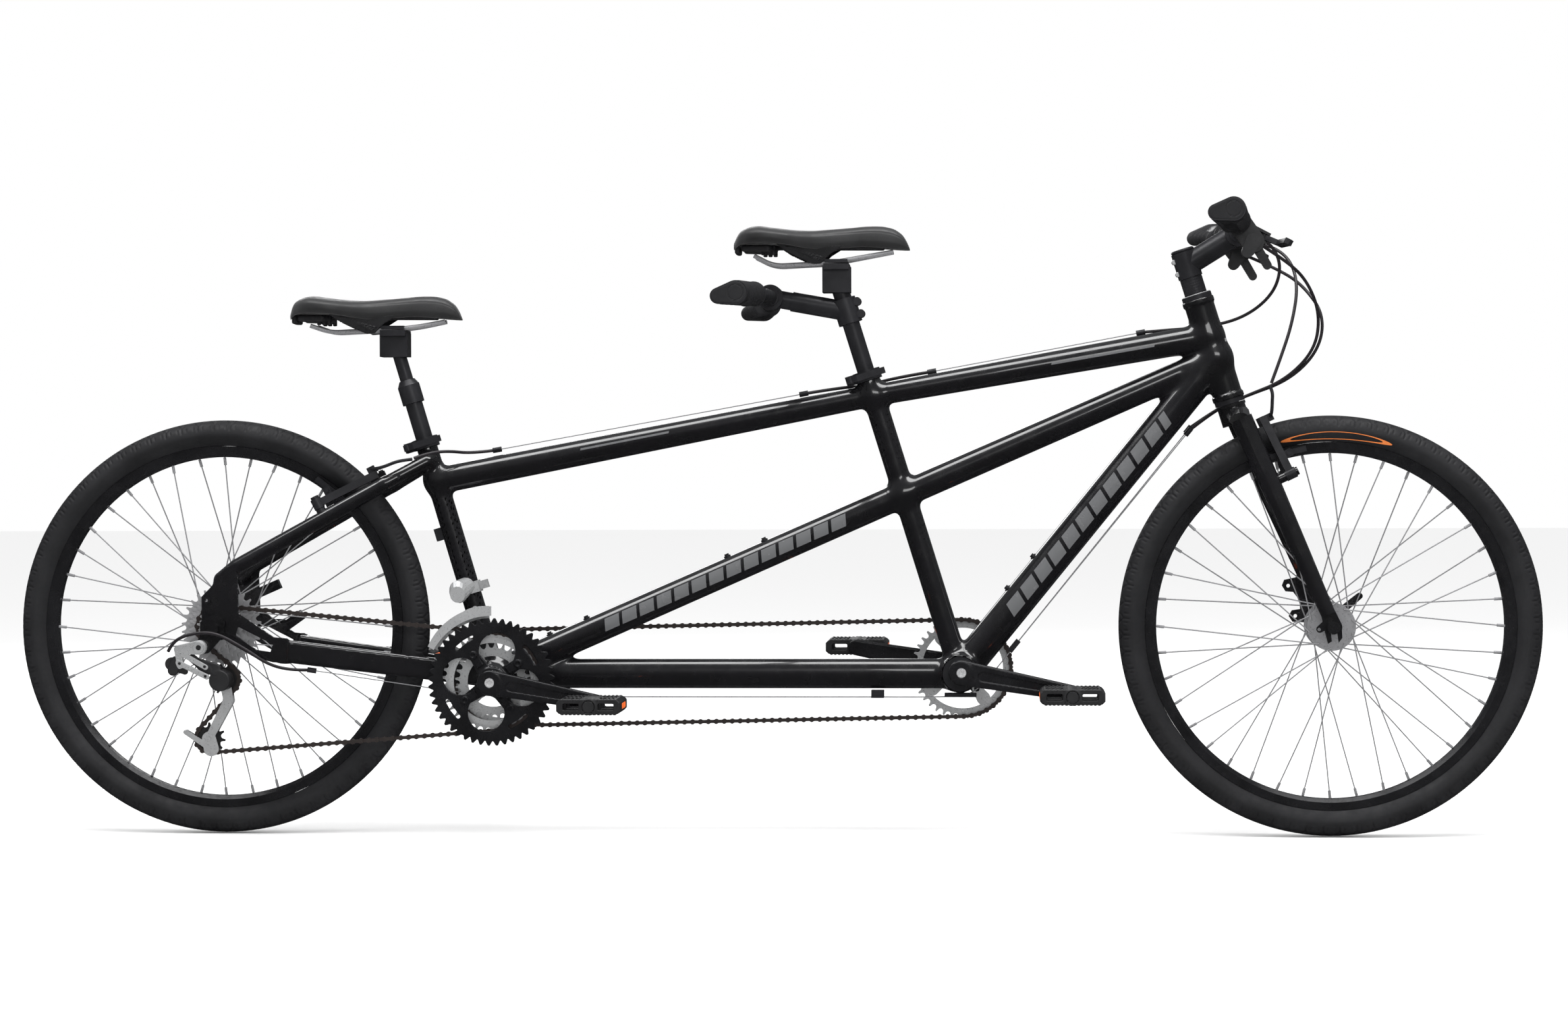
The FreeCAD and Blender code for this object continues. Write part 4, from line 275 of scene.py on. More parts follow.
def bright_metal(name, color, low, high, stretch=(1, 1, 1), metallic=0.4):
    m = Material(name, color, 0.3, metallic=metallic)
    m.tint(m.ranged(m.noise(40.0), 0.0, 1.0), tuple(c * 0.9 for c in color))
    m.rough(m.ranged(m.noise(260.0, 3.0, stretch), low, high))
    m.bump(m.noise(1400.0, 2.0, stretch), 0.00003, 0.5)
    return m.mat


def oval_line(m, centre_x, mark_angle):
    """Mask of a thin oval line on a tyre's right side; the angle is from the top towards the front."""
    x = m.math("SUBTRACT", m.axis(0), centre_x)
    z = m.math("SUBTRACT", m.axis(2), 0.328)
    radius = m.math("SQRT", m.math("ADD", m.math("MULTIPLY", x, x), m.math("MULTIPLY", z, z)))
    turn = m.math("SUBTRACT", m.math("ARCTAN2", x, z), mark_angle)
    a = m.math("DIVIDE", turn, 0.285)
    b = m.math("DIVIDE", m.math("SUBTRACT", radius, 0.297), 0.0058)
    oval = m.math("SQRT", m.math("ADD", m.math("MULTIPLY", a, a), m.math("MULTIPLY", b, b)))
    line = m.math("LESS_THAN", m.math("ABSOLUTE", m.math("SUBTRACT", oval, 0.94)), 0.09)
    return m.both(line, m.math("LESS_THAN", m.axis(1), 0.0))


def rubber(name="tread_rubber", mark=None):
    m = Material(name, (0.009, 0.009, 0.0105), 0.68, specular=0.35)
    m.tint(m.ranged(m.noise(14.0), 0.0, 1.0), (0.015, 0.015, 0.017))
    m.rough(m.ranged(m.noise(70.0), 0.55, 0.78))
    m.bump(m.noise(2200.0, 3.0), 0.00008, 0.7)
    if mark:
        m.tint(oval_line(m, *mark), (0.6, 0.16, 0.03))
    return m.mat


def plastic(name="satin_black_plastic", color=(0.011, 0.011, 0.012)):
    m = Material(name, color, 0.42, specular=0.5)
    m.tint(m.ranged(m.noise(30.0), 0.0, 1.0), tuple(c * 1.6 for c in color))
    m.rough(m.ranged(m.noise(160.0), 0.34, 0.52))
    m.bump(m.noise(2600.0, 2.0), 0.00004, 0.7)
    return m.mat


def leather():
    m = Material("saddle_cover", (0.012, 0.012, 0.0125), 0.46, specular=0.5)
    m.shader.inputs["Sheen Weight"].default_value = 0.12
    cells = m.node("ShaderNodeTexVoronoi", {"Vector": m.space, "Scale": 900.0}).outputs["Distance"]
    m.tint(m.ranged(m.noise(18.0), 0.0, 1.0), (0.02, 0.02, 0.021))
    m.rough(m.ranged(m.noise(120.0), 0.38, 0.54))
    m.bump(cells, 0.00016, 0.6)
    m.bump(m.noise(220.0), 0.0002, 0.25)
    return m.mat


paint = gloss_paint()
frame_paint = gloss_paint("frame_paint_with_bars", True)
black_alloy = anodised()
gloss_alloy = anodised("gloss_black_alloy", (0.009, 0.009, 0.01), 0.16, 0.3)
silver = bright_metal("silver_alloy", (0.4, 0.405, 0.41), 0.24, 0.38)
steel = bright_metal("spoke_steel", (0.3, 0.3, 0.31), 0.24, 0.4)
sprocket_steel = bright_metal("sprocket_steel", (0.4, 0.4, 0.41), 0.28, 0.42)
chain_metal = bright_metal("chain_steel", (0.06, 0.05, 0.047), 0.28, 0.46, metallic=0.6)
tread = rubber()
black_plastic = plastic()
cable_jacket = plastic("cable_jacket", (0.012, 0.01, 0.012))
cover = leather()

NODE_LOOKS = {
    paint: ["head_tube", "top_tubes", "down_tube", "diagonal_tubes", "seat_tubes", "boom_tube", "chainstays",
            "seatstays", "rear_dropouts", "fork_crown", "fork_blades"],
    black_alloy: ["frame_fittings", "bearing_cups", "stem", "captain_handlebar", "captain_seatpost",
                  "stoker_stem", "stoker_handlebar", "stoker_post_tube", "front_brake_lever",
                  "rear_brake_lever", "front_right_brake_arm", "front_left_brake_arm", "rear_right_brake_arm",
                  "rear_left_brake_arm", "captain_seat_lever", "stoker_seat_lever", "stoker_post_shaft"],
    gloss_alloy: ["rear_crank_arms", "front_crank_arms", "outer_chainring", "front_rim", "rear_rim"],
    silver: ["inner_chainrings", "front_timing_ring", "front_derailleur", "rear_derailleur", "derailleur_cage",
             "front_derailleur_cage"],
    steel: ["front_hub", "rear_hub", "captain_saddle_rails", "stoker_saddle_rails"],
    sprocket_steel: ["cassette"],
    chain_metal: ["chains"],
    tread: ["front_tyre", "rear_tyre"],
    black_plastic: ["control_pods", "rear_right_pedal", "rear_left_pedal", "front_right_pedal",
                    "front_left_pedal", "guide_pulley", "tension_pulley"],
    cable_jacket: ["frame_cables", "steering_cables", "front_brake_cable"],
    cover: ["captain_saddle", "stoker_saddle"],
}


def dress(names, mat):
    for name in names:
        slots = nodes[name].material_slots
        for slot in slots:
            slot.link = "OBJECT"
            slot.material = mat


for mat, names in NODE_LOOKS.items():
    dress(names, mat)

# ---- shapes from distance fields (millimetres) ---------------------------------------
def length(v):
    return np.sqrt((v * v).sum(-1))


def rod(p, a, b, ra, rb=None):
    """Round-ended rod from a to b, tapering from ra to rb."""
    a = np.asarray(a, float)
    run = np.asarray(b, float) - a
    t = np.clip((p - a) @ run / (run @ run), 0.0, 1.0)
    return length(p - a - t[:, None] * run) - (ra + t * ((ra if rb is None else rb) - ra))


def rods(p, points, r):
    return np.min([rod(p, a, b, r) for a, b in zip(points, points[1:])], axis=0)


def box_distance(q, corner):
    outside = length(np.maximum(q + corner, 0.0))
    return outside + np.minimum((q + corner).max(-1), 0.0) - corner


def drum(p, a, b, r, edge=0.8):
    """Flat-ended cylinder with rounded rims."""
    a, b = np.asarray(a, float), np.asarray(b, float)
    axis = (b - a) / np.linalg.norm(b - a)
    rel = p - (a + b) / 2
    h = rel @ axis
    radial = length(rel - h[:, None] * axis)
    return box_distance(np.stack([radial - r, np.abs(h) - np.linalg.norm(b - a) / 2], -1), edge)


def bar(p, a, b, up, half_width, half_height, corner):
    """Rounded rectangular bar from a to b."""
    a, b = np.asarray(a, float), np.asarray(b, float)
    axis = (b - a) / np.linalg.norm(b - a)
    side = np.cross(axis, up)
    side /= np.linalg.norm(side)
    upward = np.cross(side, axis)
    rel = p - (a + b) / 2
    q = np.abs(np.stack([rel @ axis, rel @ side, rel @ upward], -1))
    return box_distance(q - (np.linalg.norm(b - a) / 2, half_width, half_height), corner)


def outline_distance(x, z, corners):
    """Signed distance to a closed outline in the XZ plane."""
    best = np.full(x.shape, 1e9)
    inside = np.zeros(x.shape, bool)
    for (x0, z0), (x1, z1) in zip(corners, corners[1:] + corners[:1]):
        dx, dz = x1 - x0, z1 - z0
        t = np.clip(((x - x0) * dx + (z - z0) * dz) / (dx * dx + dz * dz), 0.0, 1.0)
        best = np.minimum(best, np.hypot(x - x0 - t * dx, z - z0 - t * dz))
        crosses = (z0 > z) != (z1 > z)
        inside ^= crosses & (x < (x1 - x0) * (z - z0) / (z1 - z0 if z1 != z0 else 1.0) + x0)
    return np.where(inside, -best, best)


def slab(p, flat, y0, y1, edge=0.8):
    """A flat outline given thickness from y0 to y1."""
    return box_distance(np.stack([flat, np.abs(p[:, 1] - (y0 + y1) / 2) - abs(y1 - y0) / 2], -1), edge)


def melt(fields, k):
    """Union with fillets about k wide."""
    out = fields[0]
    for f in fields[1:]:
        h = np.maximum(k - np.abs(out - f), 0.0) / k
        out = np.minimum(out, f) - h * h * k / 4
    return out


def carve(body, *holes):
    for hole in holes:
        body = np.maximum(body, -hole)
    return body


def mirror_y(p):
    return np.column_stack([p[:, 0], np.abs(p[:, 1]), p[:, 2]])


def gradient(field, p, h=0.08):
    parts = [field(p + h * e) - field(p - h * e) for e in np.eye(3)]
    return np.stack(parts, -1) / (2 * h)


def sample_grid(field, low, counts, step, block=4):
    """Field values on a grid, worked out only in blocks near the surface."""
    blocks = -(-np.array(counts) // block)
    index = np.stack(np.meshgrid(*[np.arange(n) for n in blocks], indexing="ij"), -1).reshape(-1, 3)
    centre = low + (index * block + (block - 1) / 2) * step
    reach = np.concatenate([field(c) for c in np.array_split(centre, max(1, len(centre) // 200000))])
    values = np.sign(reach).reshape(blocks) * 1e3
    for axis in range(3):
        values = np.repeat(values, block, axis)
    near = index[np.abs(reach) < block * step * 1.1]
    offsets = np.stack(np.meshgrid(*[np.arange(block)] * 3, indexing="ij"), -1).reshape(-1, 3)
    for chunk in np.array_split(near, max(1, len(near) // 4000)):
        cells = (chunk[:, None, :] * block + offsets).reshape(-1, 3)
        values[cells[:, 0], cells[:, 1], cells[:, 2]] = field(low + cells * step)
    return values


def surface_net(field, low, high, step):
    """Quads over the field's zero surface, moved onto it, and the surface normals."""
    low = np.asarray(low, float)
    counts = np.ceil((np.asarray(high, float) - low) / step).astype(int) + 1
    values = sample_grid(field, low, counts, step)
    shape = np.array(values.shape)
    inside = values < 0
    total = np.zeros((*(shape - 1), 3))
    hits = np.zeros(shape - 1, int)
    edges = []
    for axis in range(3):
        ahead = [slice(None)] * 3
        ahead[axis] = slice(1, None)
        behind = [slice(None)] * 3
        behind[axis] = slice(None, -1)
        flips = inside[tuple(ahead)] != inside[tuple(behind)]
        at = np.argwhere(flips)
        here = values[tuple(behind)][flips]
        there = values[tuple(ahead)][flips]
        point = at.astype(float)
        point[:, axis] += here / (here - there)
        edges.append((axis, at, inside[tuple(behind)][flips]))
        u, v = [k for k in range(3) if k != axis]
        for du in (0, 1):
            for dv in (0, 1):
                cell = at.copy()
                cell[:, u] -= du
                cell[:, v] -= dv
                ok = ((cell >= 0) & (cell < shape - 1)).all(1)
                np.add.at(total, tuple(cell[ok].T), point[ok])
                np.add.at(hits, tuple(cell[ok].T), 1)
    used = hits > 0
    number = np.full(hits.shape, -1)
    number[used] = np.arange(used.sum())
    points = low + total[used] / hits[used][:, None] * step
    quads = []
    for axis, at, first_inside in edges:
        u, v = [k for k in range(3) if k != axis]
        ok = ((at[:, [u, v]] > 0) & (at[:, [u, v]] < shape[[u, v]] - 1)).all(1)
        at, first_inside = at[ok], first_inside[ok]
        ring = []
        for du, dv in ((0, 0), (1, 0), (1, 1), (0, 1)):
            cell = at.copy()
            cell[:, u] -= du
            cell[:, v] -= dv
            ring.append(number[tuple(cell.T)])
        ring = np.stack(ring, -1)
        forward = first_inside == (axis != 1)
        quads.append(np.where(forward[:, None], ring, ring[:, ::-1]))
    for _ in range(4):
        g = gradient(field, points)
        move = field(points)[:, None] * g / np.maximum((g * g).sum(-1), 0.2)[:, None]
        points = points - np.clip(move, -step, step)
    normals = gradient(field, points)
    return points, np.concatenate(quads), normals / np.maximum(length(normals), 1e-9)[:, None]


# ---- making pieces -------------------------------------------------------------------
def add_piece(name, points, faces, mat, body, normals=None, replaces=(), smooth=True):
    mesh = bpy.data.meshes.new(name)
    mesh.from_pydata([tuple(p) for p in np.asarray(points) * MM], [], [tuple(int(i) for i in f) for f in faces])
    mesh.materials.append(mat)
    if smooth:
        mesh.shade_smooth()
    if normals is not None:
        mesh.normals_split_custom_set_from_vertices([tuple(n) for n in normals])
    piece = bpy.data.objects.new(name, mesh)
    bpy.context.collection.objects.link(piece)
    if body:
        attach(piece, body)
    if replaces:
        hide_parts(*replaces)
    return piece


def field_piece(name, field, low, high, step, mat, body, replaces=()):
    points, quads, normals = surface_net(field, low, high, step)
    return add_piece(name, points, quads, mat, body, normals, replaces)


# ---- frame: one welded, filed-smooth surface ----------------------------------------------------------------
HEAD_LOW, HEAD_TOP = np.array((716.4, 0, 681.7)), np.array((668.0, 0, 838.0))
HEAD_AXIS = (HEAD_TOP - HEAD_LOW) / np.linalg.norm(HEAD_TOP - HEAD_LOW)
FRONT_SHELL, CAPTAIN_TOP = np.array((296.5, 0, 254.5)), np.array((150.4, 0, 726.4))
REAR_CRANK, STOKER_TOP = np.array((-437.0, 0, 243.0)), np.array((-550.5, 0, 623.3))
TOP_AT_CAPTAIN, TOP_AT_HEAD, TOP_AT_STOKER = (160.7, 0, 690.5), (686.3, 0, 780.1), (-531.0, 0, 558.7)
LOWER_AT_HEAD, DIAGONAL_REAR, DIAGONAL_MIDDLE = (696.3, 0, 746.6), (-446.0, 0, 249.6), (207.5, 0, 534.9)
SEATSTAY = [(-545, 17, 588.5), (-606, 41, 554.5), (-660, 47, 524.5), (-838, 68.5, 425), (-862, 71, 405)]
CHAINSTAY = [(-446, 20, 250.5), (-520, 35, 260.5), (-573, 41.5, 267.5), (-770, 67.5, 293)]
DROPOUT = [(-892, 378), (-850, 421), (-836, 410), (-834, 352), (-778, 314), (-758, 312),
           (-758, 274), (-779, 275), (-807, 282), (-857, 311), (-880, 306), (-892, 312)]
DROPOUT_WINDOW = [(-834, 331), (-779, 303), (-783, 291), (-805, 294), (-838, 317)]
SKIN = 0.15


def boom(p):
    """Oval tube between the two cranks."""
    y, z = p[:, 1] / 18.0, (p[:, 2] - 253.3) / 23.5
    k = np.hypot(y, z)
    slope = np.hypot(y / 18.0, z / 23.5)
    round_part = k * (k - 1.0) / np.maximum(slope, 1e-3)
    ends = np.maximum(REAR_CRANK[0] - p[:, 0], p[:, 0] - FRONT_SHELL[0])
    return np.maximum(round_part, ends)


def rear_triangle(p):
    q = mirror_y(p)
    stays = [bar(q, a, b, (0, 0, 1), 9.0, 17.8, 5.5) for a, b in zip(CHAINSTAY, CHAINSTAY[1:])]
    stays = melt([melt(stays, 6.0), rods(q, SEATSTAY, 12.0)], 10.0)
    flat = np.maximum(outline_distance(q[:, 0], q[:, 2], DROPOUT) - SKIN,
                      SKIN - outline_distance(q[:, 0], q[:, 2], DROPOUT_WINDOW))
    plate = slab(q, flat, 72.5 - SKIN, 79.5 + SKIN)
    both = melt([stays, plate], 9.0)
    eyelet = drum(q, (-884, 60, 372.5), (-884, 90, 372.5), 2.5)
    axle = drum(q, (-872, 60, 328), (-872, 90, 328), 4.8)
    window = slab(q, outline_distance(q[:, 0], q[:, 2], DROPOUT_WINDOW) + SKIN, 50, 90)
    return carve(both, eyelet, axle, window, 79.5 + SKIN - q[:, 1])


def frame_field(p):
    tubes = [
        drum(p, HEAD_LOW, HEAD_TOP, 23.0),
        rod(p, TOP_AT_CAPTAIN, TOP_AT_HEAD, 17.0, 21.5),
        rod(p, TOP_AT_CAPTAIN, TOP_AT_STOKER, 17.5, 21.5),
        rod(p, FRONT_SHELL, LOWER_AT_HEAD, 25.75),
        rod(p, DIAGONAL_REAR, DIAGONAL_MIDDLE, 22.5, 20.9),
        rod(p, DIAGONAL_MIDDLE, LOWER_AT_HEAD, 20.9, 19.75),
        drum(p, FRONT_SHELL, CAPTAIN_TOP, 17.5),
        drum(p, REAR_CRANK, STOKER_TOP, 16.5),
        boom(p),
        drum(p, FRONT_SHELL - (0, 36.5, 0), FRONT_SHELL + (0, 36.5, 0), 29.2),
        drum(p, REAR_CRANK - (0, 36.5, 0), REAR_CRANK + (0, 36.5, 0), 23.0),
        rear_triangle(p),
        rod(p, (-610, -38, 553), (-610, 38, 553), 7.0),
    ]
    rims = [
        drum(p, HEAD_LOW, HEAD_LOW + HEAD_AXIS * 9.0, 25.0, 1.5),
        drum(p, HEAD_TOP, HEAD_TOP - HEAD_AXIS * 9.0, 25.0, 1.5),
    ]
    body = melt([melt(tubes, 11.0), *rims], 1.5)
    captain_axis = (CAPTAIN_TOP - FRONT_SHELL) / np.linalg.norm(CAPTAIN_TOP - FRONT_SHELL)
    stoker_axis = (STOKER_TOP - REAR_CRANK) / np.linalg.norm(STOKER_TOP - REAR_CRANK)
    return carve(
        body,
        drum(p, HEAD_LOW - HEAD_AXIS * 5, HEAD_TOP + HEAD_AXIS * 5, 18.0),
        drum(p, CAPTAIN_TOP - captain_axis * 330, CAPTAIN_TOP + captain_axis * 5, 13.65),
        drum(p, STOKER_TOP - stoker_axis * 330, STOKER_TOP + stoker_axis * 5, 13.65),
        drum(p, FRONT_SHELL - (0, 40, 0), FRONT_SHELL + (0, 40, 0), 27.0),
        drum(p, REAR_CRANK - (0, 40, 0), REAR_CRANK + (0, 40, 0), 18.0),
    )


field_piece("frame_weldment", frame_field, (-905, -84, 205), (755, 84, 850), 3.0, frame_paint, "frame",
            ["head_tube", "top_tubes", "down_tube", "diagonal_tubes", "seat_tubes", "boom_tube", "chainstays",
             "seatstays"])


# ---- tyres ---------------------------------------------------------------------------
TYRE_HALF, RIM_EDGE_R = 23.5, 287.2
TREAD_PERIODS = 76
STEPS_PER_PERIOD = 20


def groove(distance, half_width):
    """1 on the line, falling smoothly to 0 at its edge."""
    t = np.clip(1.6 - np.abs(distance) / half_width, 0.0, 1.0)
    return t * t * (3 - 2 * t)


def tread_depth(u, v):
    """Depth of the tread pattern: u counts periods round the tyre, v runs across it from -1 to 1."""
    side = np.abs(v)
    phase = (u + 0.5 * (v > 0)) % 1.0 - 0.5
    fork = np.clip(0.62 - side, 0.0, 1.0) * 0.75
    stem_line = groove(phase - 0.02, 0.045) * (side > 0.55) * (side < 0.98)
    arms = np.maximum(groove(phase - fork, 0.05), groove(phase + fork, 0.05)) * (side > 0.2) * (side <= 0.6)
    nick = groove(np.abs(phase) - 0.27, 0.035) * (side > 0.68) * (side < 0.9)
    wave = groove(side - 0.13 - 0.04 * np.cos(u * 4 * np.pi), 0.028)
    rib = groove(side - 0.99, 0.02) * 0.5
    return 1.5 * np.max([stem_line, arms, nick * 0.7, wave, rib], axis=0)


def tyre_profile():
    """Radius, y and tread position across the tyre, bead to bead."""
    rows = []
    for t in np.linspace(0, 1, 7)[:-1]:
        bend = 2 * t * (1 - t)
        r = RIM_EDGE_R + (304.5 - RIM_EDGE_R) * t
        y = 12.5 + (TYRE_HALF - 12.5) * t + bend * 4.2
        rows.append((r, y, 1.3))
    for a in np.linspace(0, 90, 17):
        c, s = math.cos(math.radians(a)), math.sin(math.radians(a))
        rows.append((304.5 + TYRE_HALF * s, TYRE_HALF * c, 1.25 * (1 - a / 90)))
    mirror = [(r, -y, -v) for r, y, v in rows[:-1]]
    return rows + mirror[::-1]


def tyre_piece(name, centre_x, body, replaces, mat):
    rows = np.array(tyre_profile())
    across = len(rows)
    around = TREAD_PERIODS * STEPS_PER_PERIOD
    u = np.repeat(np.arange(around) / STEPS_PER_PERIOD, across)
    r, y, v = [np.tile(rows[:, k], around) for k in range(3)]
    depth = tread_depth(u, v) * (np.abs(v) <= 1.02)
    ring = np.minimum(np.abs(r - 296.0) / 0.8, 1.0)
    depth = depth - 0.35 * (1 - ring)
    out_r, out_y = r - 304.5, y
    span = np.maximum(np.hypot(out_r, out_y), 1.0)
    r = r - depth * out_r / span
    y = y - depth * out_y / span
    angle = u / TREAD_PERIODS * 2 * np.pi
    points = np.column_stack([centre_x + r * np.cos(angle), y, 328.0 + r * np.sin(angle)])
    faces = []
    for i in range(around):
        j = (i + 1) % around
        for k in range(across - 1):
            faces.append((i * across + k, i * across + k + 1, j * across + k + 1, j * across + k))
    return add_piece(name, points, faces, mat, body, replaces=replaces)


marked_rubber = rubber("marked_rubber", (0.872, 0.03))
tyre_piece("front_tyre_tread", 872.0, "front_wheel", ["front_tyre"], marked_rubber)
tyre_piece("rear_tyre_tread", -872.0, "rear_wheel", ["rear_tyre"], tread)

# ---- cranks, outer chainring and pedals ----------------------------------------------
FRONT_CRANK = np.array((299.426, 0, 259.0))
CRANK_ANGLE = -10.4
BOLT_ANGLES = [CRANK_ANGLE + 45 + 90 * k for k in range(4)]
pedal_plastic = plastic("pedal_black")
reflector_orange = plastic("reflector_orange", (0.75, 0.12, 0.01))
machined = bright_metal("machined_alloy", (0.55, 0.55, 0.56), 0.2, 0.34)


def around(centre, radius, degrees, y=0.0):
    """Point at a radius and angle from a centre in the XZ plane, at the y given."""
    a = math.radians(degrees)
    return np.array((centre[0] + radius * math.cos(a), y, centre[2] + radius * math.sin(a)))


def flat_link(p, a, b, ra, rb):
    """Distance in the XZ plane to a tapering link."""
    a, b = np.array((a[0], a[2])), np.array((b[0], b[2]))
    run = b - a
    q = p[:, [0, 2]] - a
    t = np.clip(q @ run / (run @ run), 0.0, 1.0)
    return length(q - t[:, None] * run) - (ra + (rb - ra) * t)


def crank_arm(p, centre, reach, degrees, side):
    """One arm with its pedal spindle; side is -1 for the right."""
    end = around(centre, reach, degrees)
    flat = flat_link(p, centre, end, 19.5, 12.4)
    body = slab(p, flat, side * 68.0, side * 81.0, 3.2)
    groove_line = flat_link(p, around(centre, 34, degrees), around(centre, reach - 26, degrees), 8.0, 5.0)
    pocket = slab(p, groove_line, side * 79.8, side * 84.0, 0.8)
    boss = drum(p, around(centre, 0, 0, side * 57.5), around(centre, 0, 0, side * 80.6), 17.0, 1.5)
    cap = drum(p, around(centre, 0, 0, side * 79), around(centre, 0, 0, side * 83), 8.0, 0.4)
    neck = drum(p, end + (0, side * 78, 0), end + (0, side * 83.4, 0), 8.0, 0.6)
    axle = drum(p, end + (0, side * 70, 0), end + (0, side * 169.5, 0), 4.9, 0.6)
    return melt([carve(melt([body, boss], 5.0), pocket, cap), melt([neck, axle], 1.0)], 0.8)


def spider_field(p, centre, hub_r, hub_y, arm_y, bolt_r, roots):
    """Four arms out to the chainring bolts, on a round hub."""
    hub = drum(p, around(centre, 0, 0, hub_y[0]), around(centre, 0, 0, hub_y[1]), hub_r, 1.2)
    arms = [slab(p, flat_link(p, centre, around(centre, bolt_r, a), *roots), *arm_y, 1.4) for a in BOLT_ANGLES]
    return melt([hub, *arms], 7.0)


def rear_crank_field(p):
    c = REAR_CRANK
    drive_side = spider_field(p, c, 22.0, (-58.0, -50.2), (-55.2, -50.2), 50.8, (13.0, 8.0))
    timing_side = spider_field(p, c, 19.0, (50.6, 57.5), (50.6, 55.0), 52.0, (13.0, 8.0))
    spindle = drum(p, c + (0, -68, 0), c + (0, 68, 0), 8.5)
    arms = [crank_arm(p, c, 170.0, CRANK_ANGLE, -1), crank_arm(p, c, 170.0, CRANK_ANGLE + 180, 1)]
    return melt([np.minimum(*arms), drive_side, timing_side, spindle], 1.5)


def front_crank_field(p):
    c = FRONT_CRANK
    timing_side = spider_field(p, c, 19.0, (50.6, 57.5), (50.6, 55.0), 52.0, (13.0, 8.0))
    spindle = drum(p, c + (0, -68, 0), c + (0, 68, 0), 8.5)
    arms = [crank_arm(p, c, 172.5, CRANK_ANGLE, -1), crank_arm(p, c, 172.5, CRANK_ANGLE + 180, 1)]
    return melt([np.minimum(*arms), timing_side, spindle], 1.5)


for tag, centre, field in (("rear", REAR_CRANK, rear_crank_field), ("front", FRONT_CRANK, front_crank_field)):
    low, high = centre + (-190, -172, -60), centre + (190, 172, 60)
    field_piece(f"{tag}_crank_forging", field, low, high, 1.5, gloss_alloy, f"{tag}_crankset",
                [f"{tag}_crank_arms"])


def toothed_edge(p, centre, teeth, phase, root_r, tip_r):
    """Roughly the distance to a toothed rim."""
    rel = p[:, [0, 2]] - centre[[0, 2]]
    turn = (np.degrees(np.arctan2(rel[:, 1], rel[:, 0])) - phase) * teeth / 360.0
    wave = np.abs((turn % 1.0) - 0.5) * 2
    return (length(rel) - (root_r + (tip_r - root_r) * np.clip(1.35 - 1.5 * wave, 0.0, 1.0))) * 0.75


BIG_PITCH_R = 12.7 / (2 * math.sin(math.pi / 48))


def big_ring_field(p):
    c = REAR_CRANK
    rim = toothed_edge(p, c, 48, CRANK_ANGLE + 3.75, BIG_PITCH_R - 3.9, BIG_PITCH_R + 3.3)
    holes = []
    for k in range(4):
        a = CRANK_ANGLE + 90 * k
        holes.append(flat_link(p, around(c, 49, a), around(c, 49.01, a), 29.0, 29.0))
    slots = []
    for a in BOLT_ANGLES:
        for shift in (-11.0, 0.0):
            slots.append(flat_link(p, around(c, 77 - abs(shift + 5.5) * 0.2, a + shift),
                                   around(c, 77 - abs(shift + 5.5) * 0.2, a + shift + 11.0), 3.2, 3.2))
    centre_hole = flat_link(p, c, around(c, 0.01, 0), 30.0, 30.0)
    flat = np.max([rim, *[-h for h in holes], *[-s for s in slots], -centre_hole], axis=0)
    body = slab(p, flat, -58.0, -55.2, 0.5)
    bolts = [drum(p, around(c, 51, a, -60.6), around(c, 51, a, -56.5), 6.4, 0.8) for a in BOLT_ANGLES]
    sockets = [drum(p, around(c, 51, a, -62), around(c, 51, a, -59.2), 2.6, 0.3) for a in BOLT_ANGLES]
    return carve(melt([body, *bolts], 0.8), *sockets)


field_piece("big_chainring", big_ring_field, REAR_CRANK + (-106, -62, -106), REAR_CRANK + (106, -54, 106), 1.3,
            gloss_alloy, "rear_crankset", ["outer_chainring"])


def small_parts(name, field, centre, reach, mat, body, step=0.9):
    low = np.asarray(centre) - reach
    high = np.asarray(centre) + reach
    return field_piece(name, field, low, high, step, mat, body)


def crank_bolt(centre):
    def field(p):
        cup = drum(p, centre + (0, -80.9, 0), centre + (0, -78.5, 0), 7.6, 0.5)
        return carve(cup, drum(p, centre + (0, -84, 0), centre + (0, -79.8, 0), 4.0, 0.3))
    return field


for tag, centre in (("rear", REAR_CRANK), ("front", FRONT_CRANK)):
    small_parts(f"{tag}_crank_bolt", crank_bolt(centre), centre + (0, -80, 0), (10, 5, 10), machined,
                f"{tag}_crankset", 0.7)


def pedal_field(p):
    """One pedal about its spindle, with y running outwards from the crank."""
    x, y, z = np.abs(p[:, 0]), p[:, 1], np.abs(p[:, 2])
    mid = np.abs(y - 47.0)
    flat = np.max([x - 49.5, z - 12.6, (x + z - 56.0) * 0.707], axis=0)
    frame = box_distance(np.stack([flat, mid - 46.5], -1), 2.2)
    wells = [bar(np.column_stack([x, y, p[:, 2]]), (27, y0, 0), (27, y0 + 27, 0), (0, 0, 1), 13.0, 30.0, 3.0)
             for y0 in (14.0, 53.0)]
    teeth = 1.5 * (np.cos(p[:, 0] * 2 * np.pi / 6.2) > 0.1) * (z > 8)
    side_holes = [bar(np.column_stack([x, y, z]), (27, -5, 0), (27, 100, 0), (0, 0, 1), 12.0, 5.0, 2.0)]
    barrel = drum(p, (0, 0.5, 0), (0, 93.5, 0), 12.5, 1.2)
    body = melt([carve(frame + teeth * 0.6, *wells, *side_holes), barrel], 2.0)
    cap_ring = np.abs(np.hypot(p[:, 0], p[:, 2]) - 9.5) - 0.6
    return carve(body, np.maximum(cap_ring, 92.9 - y), drum(p, (0, -6, 0), (0, 88, 0), 5.1, 0.2))


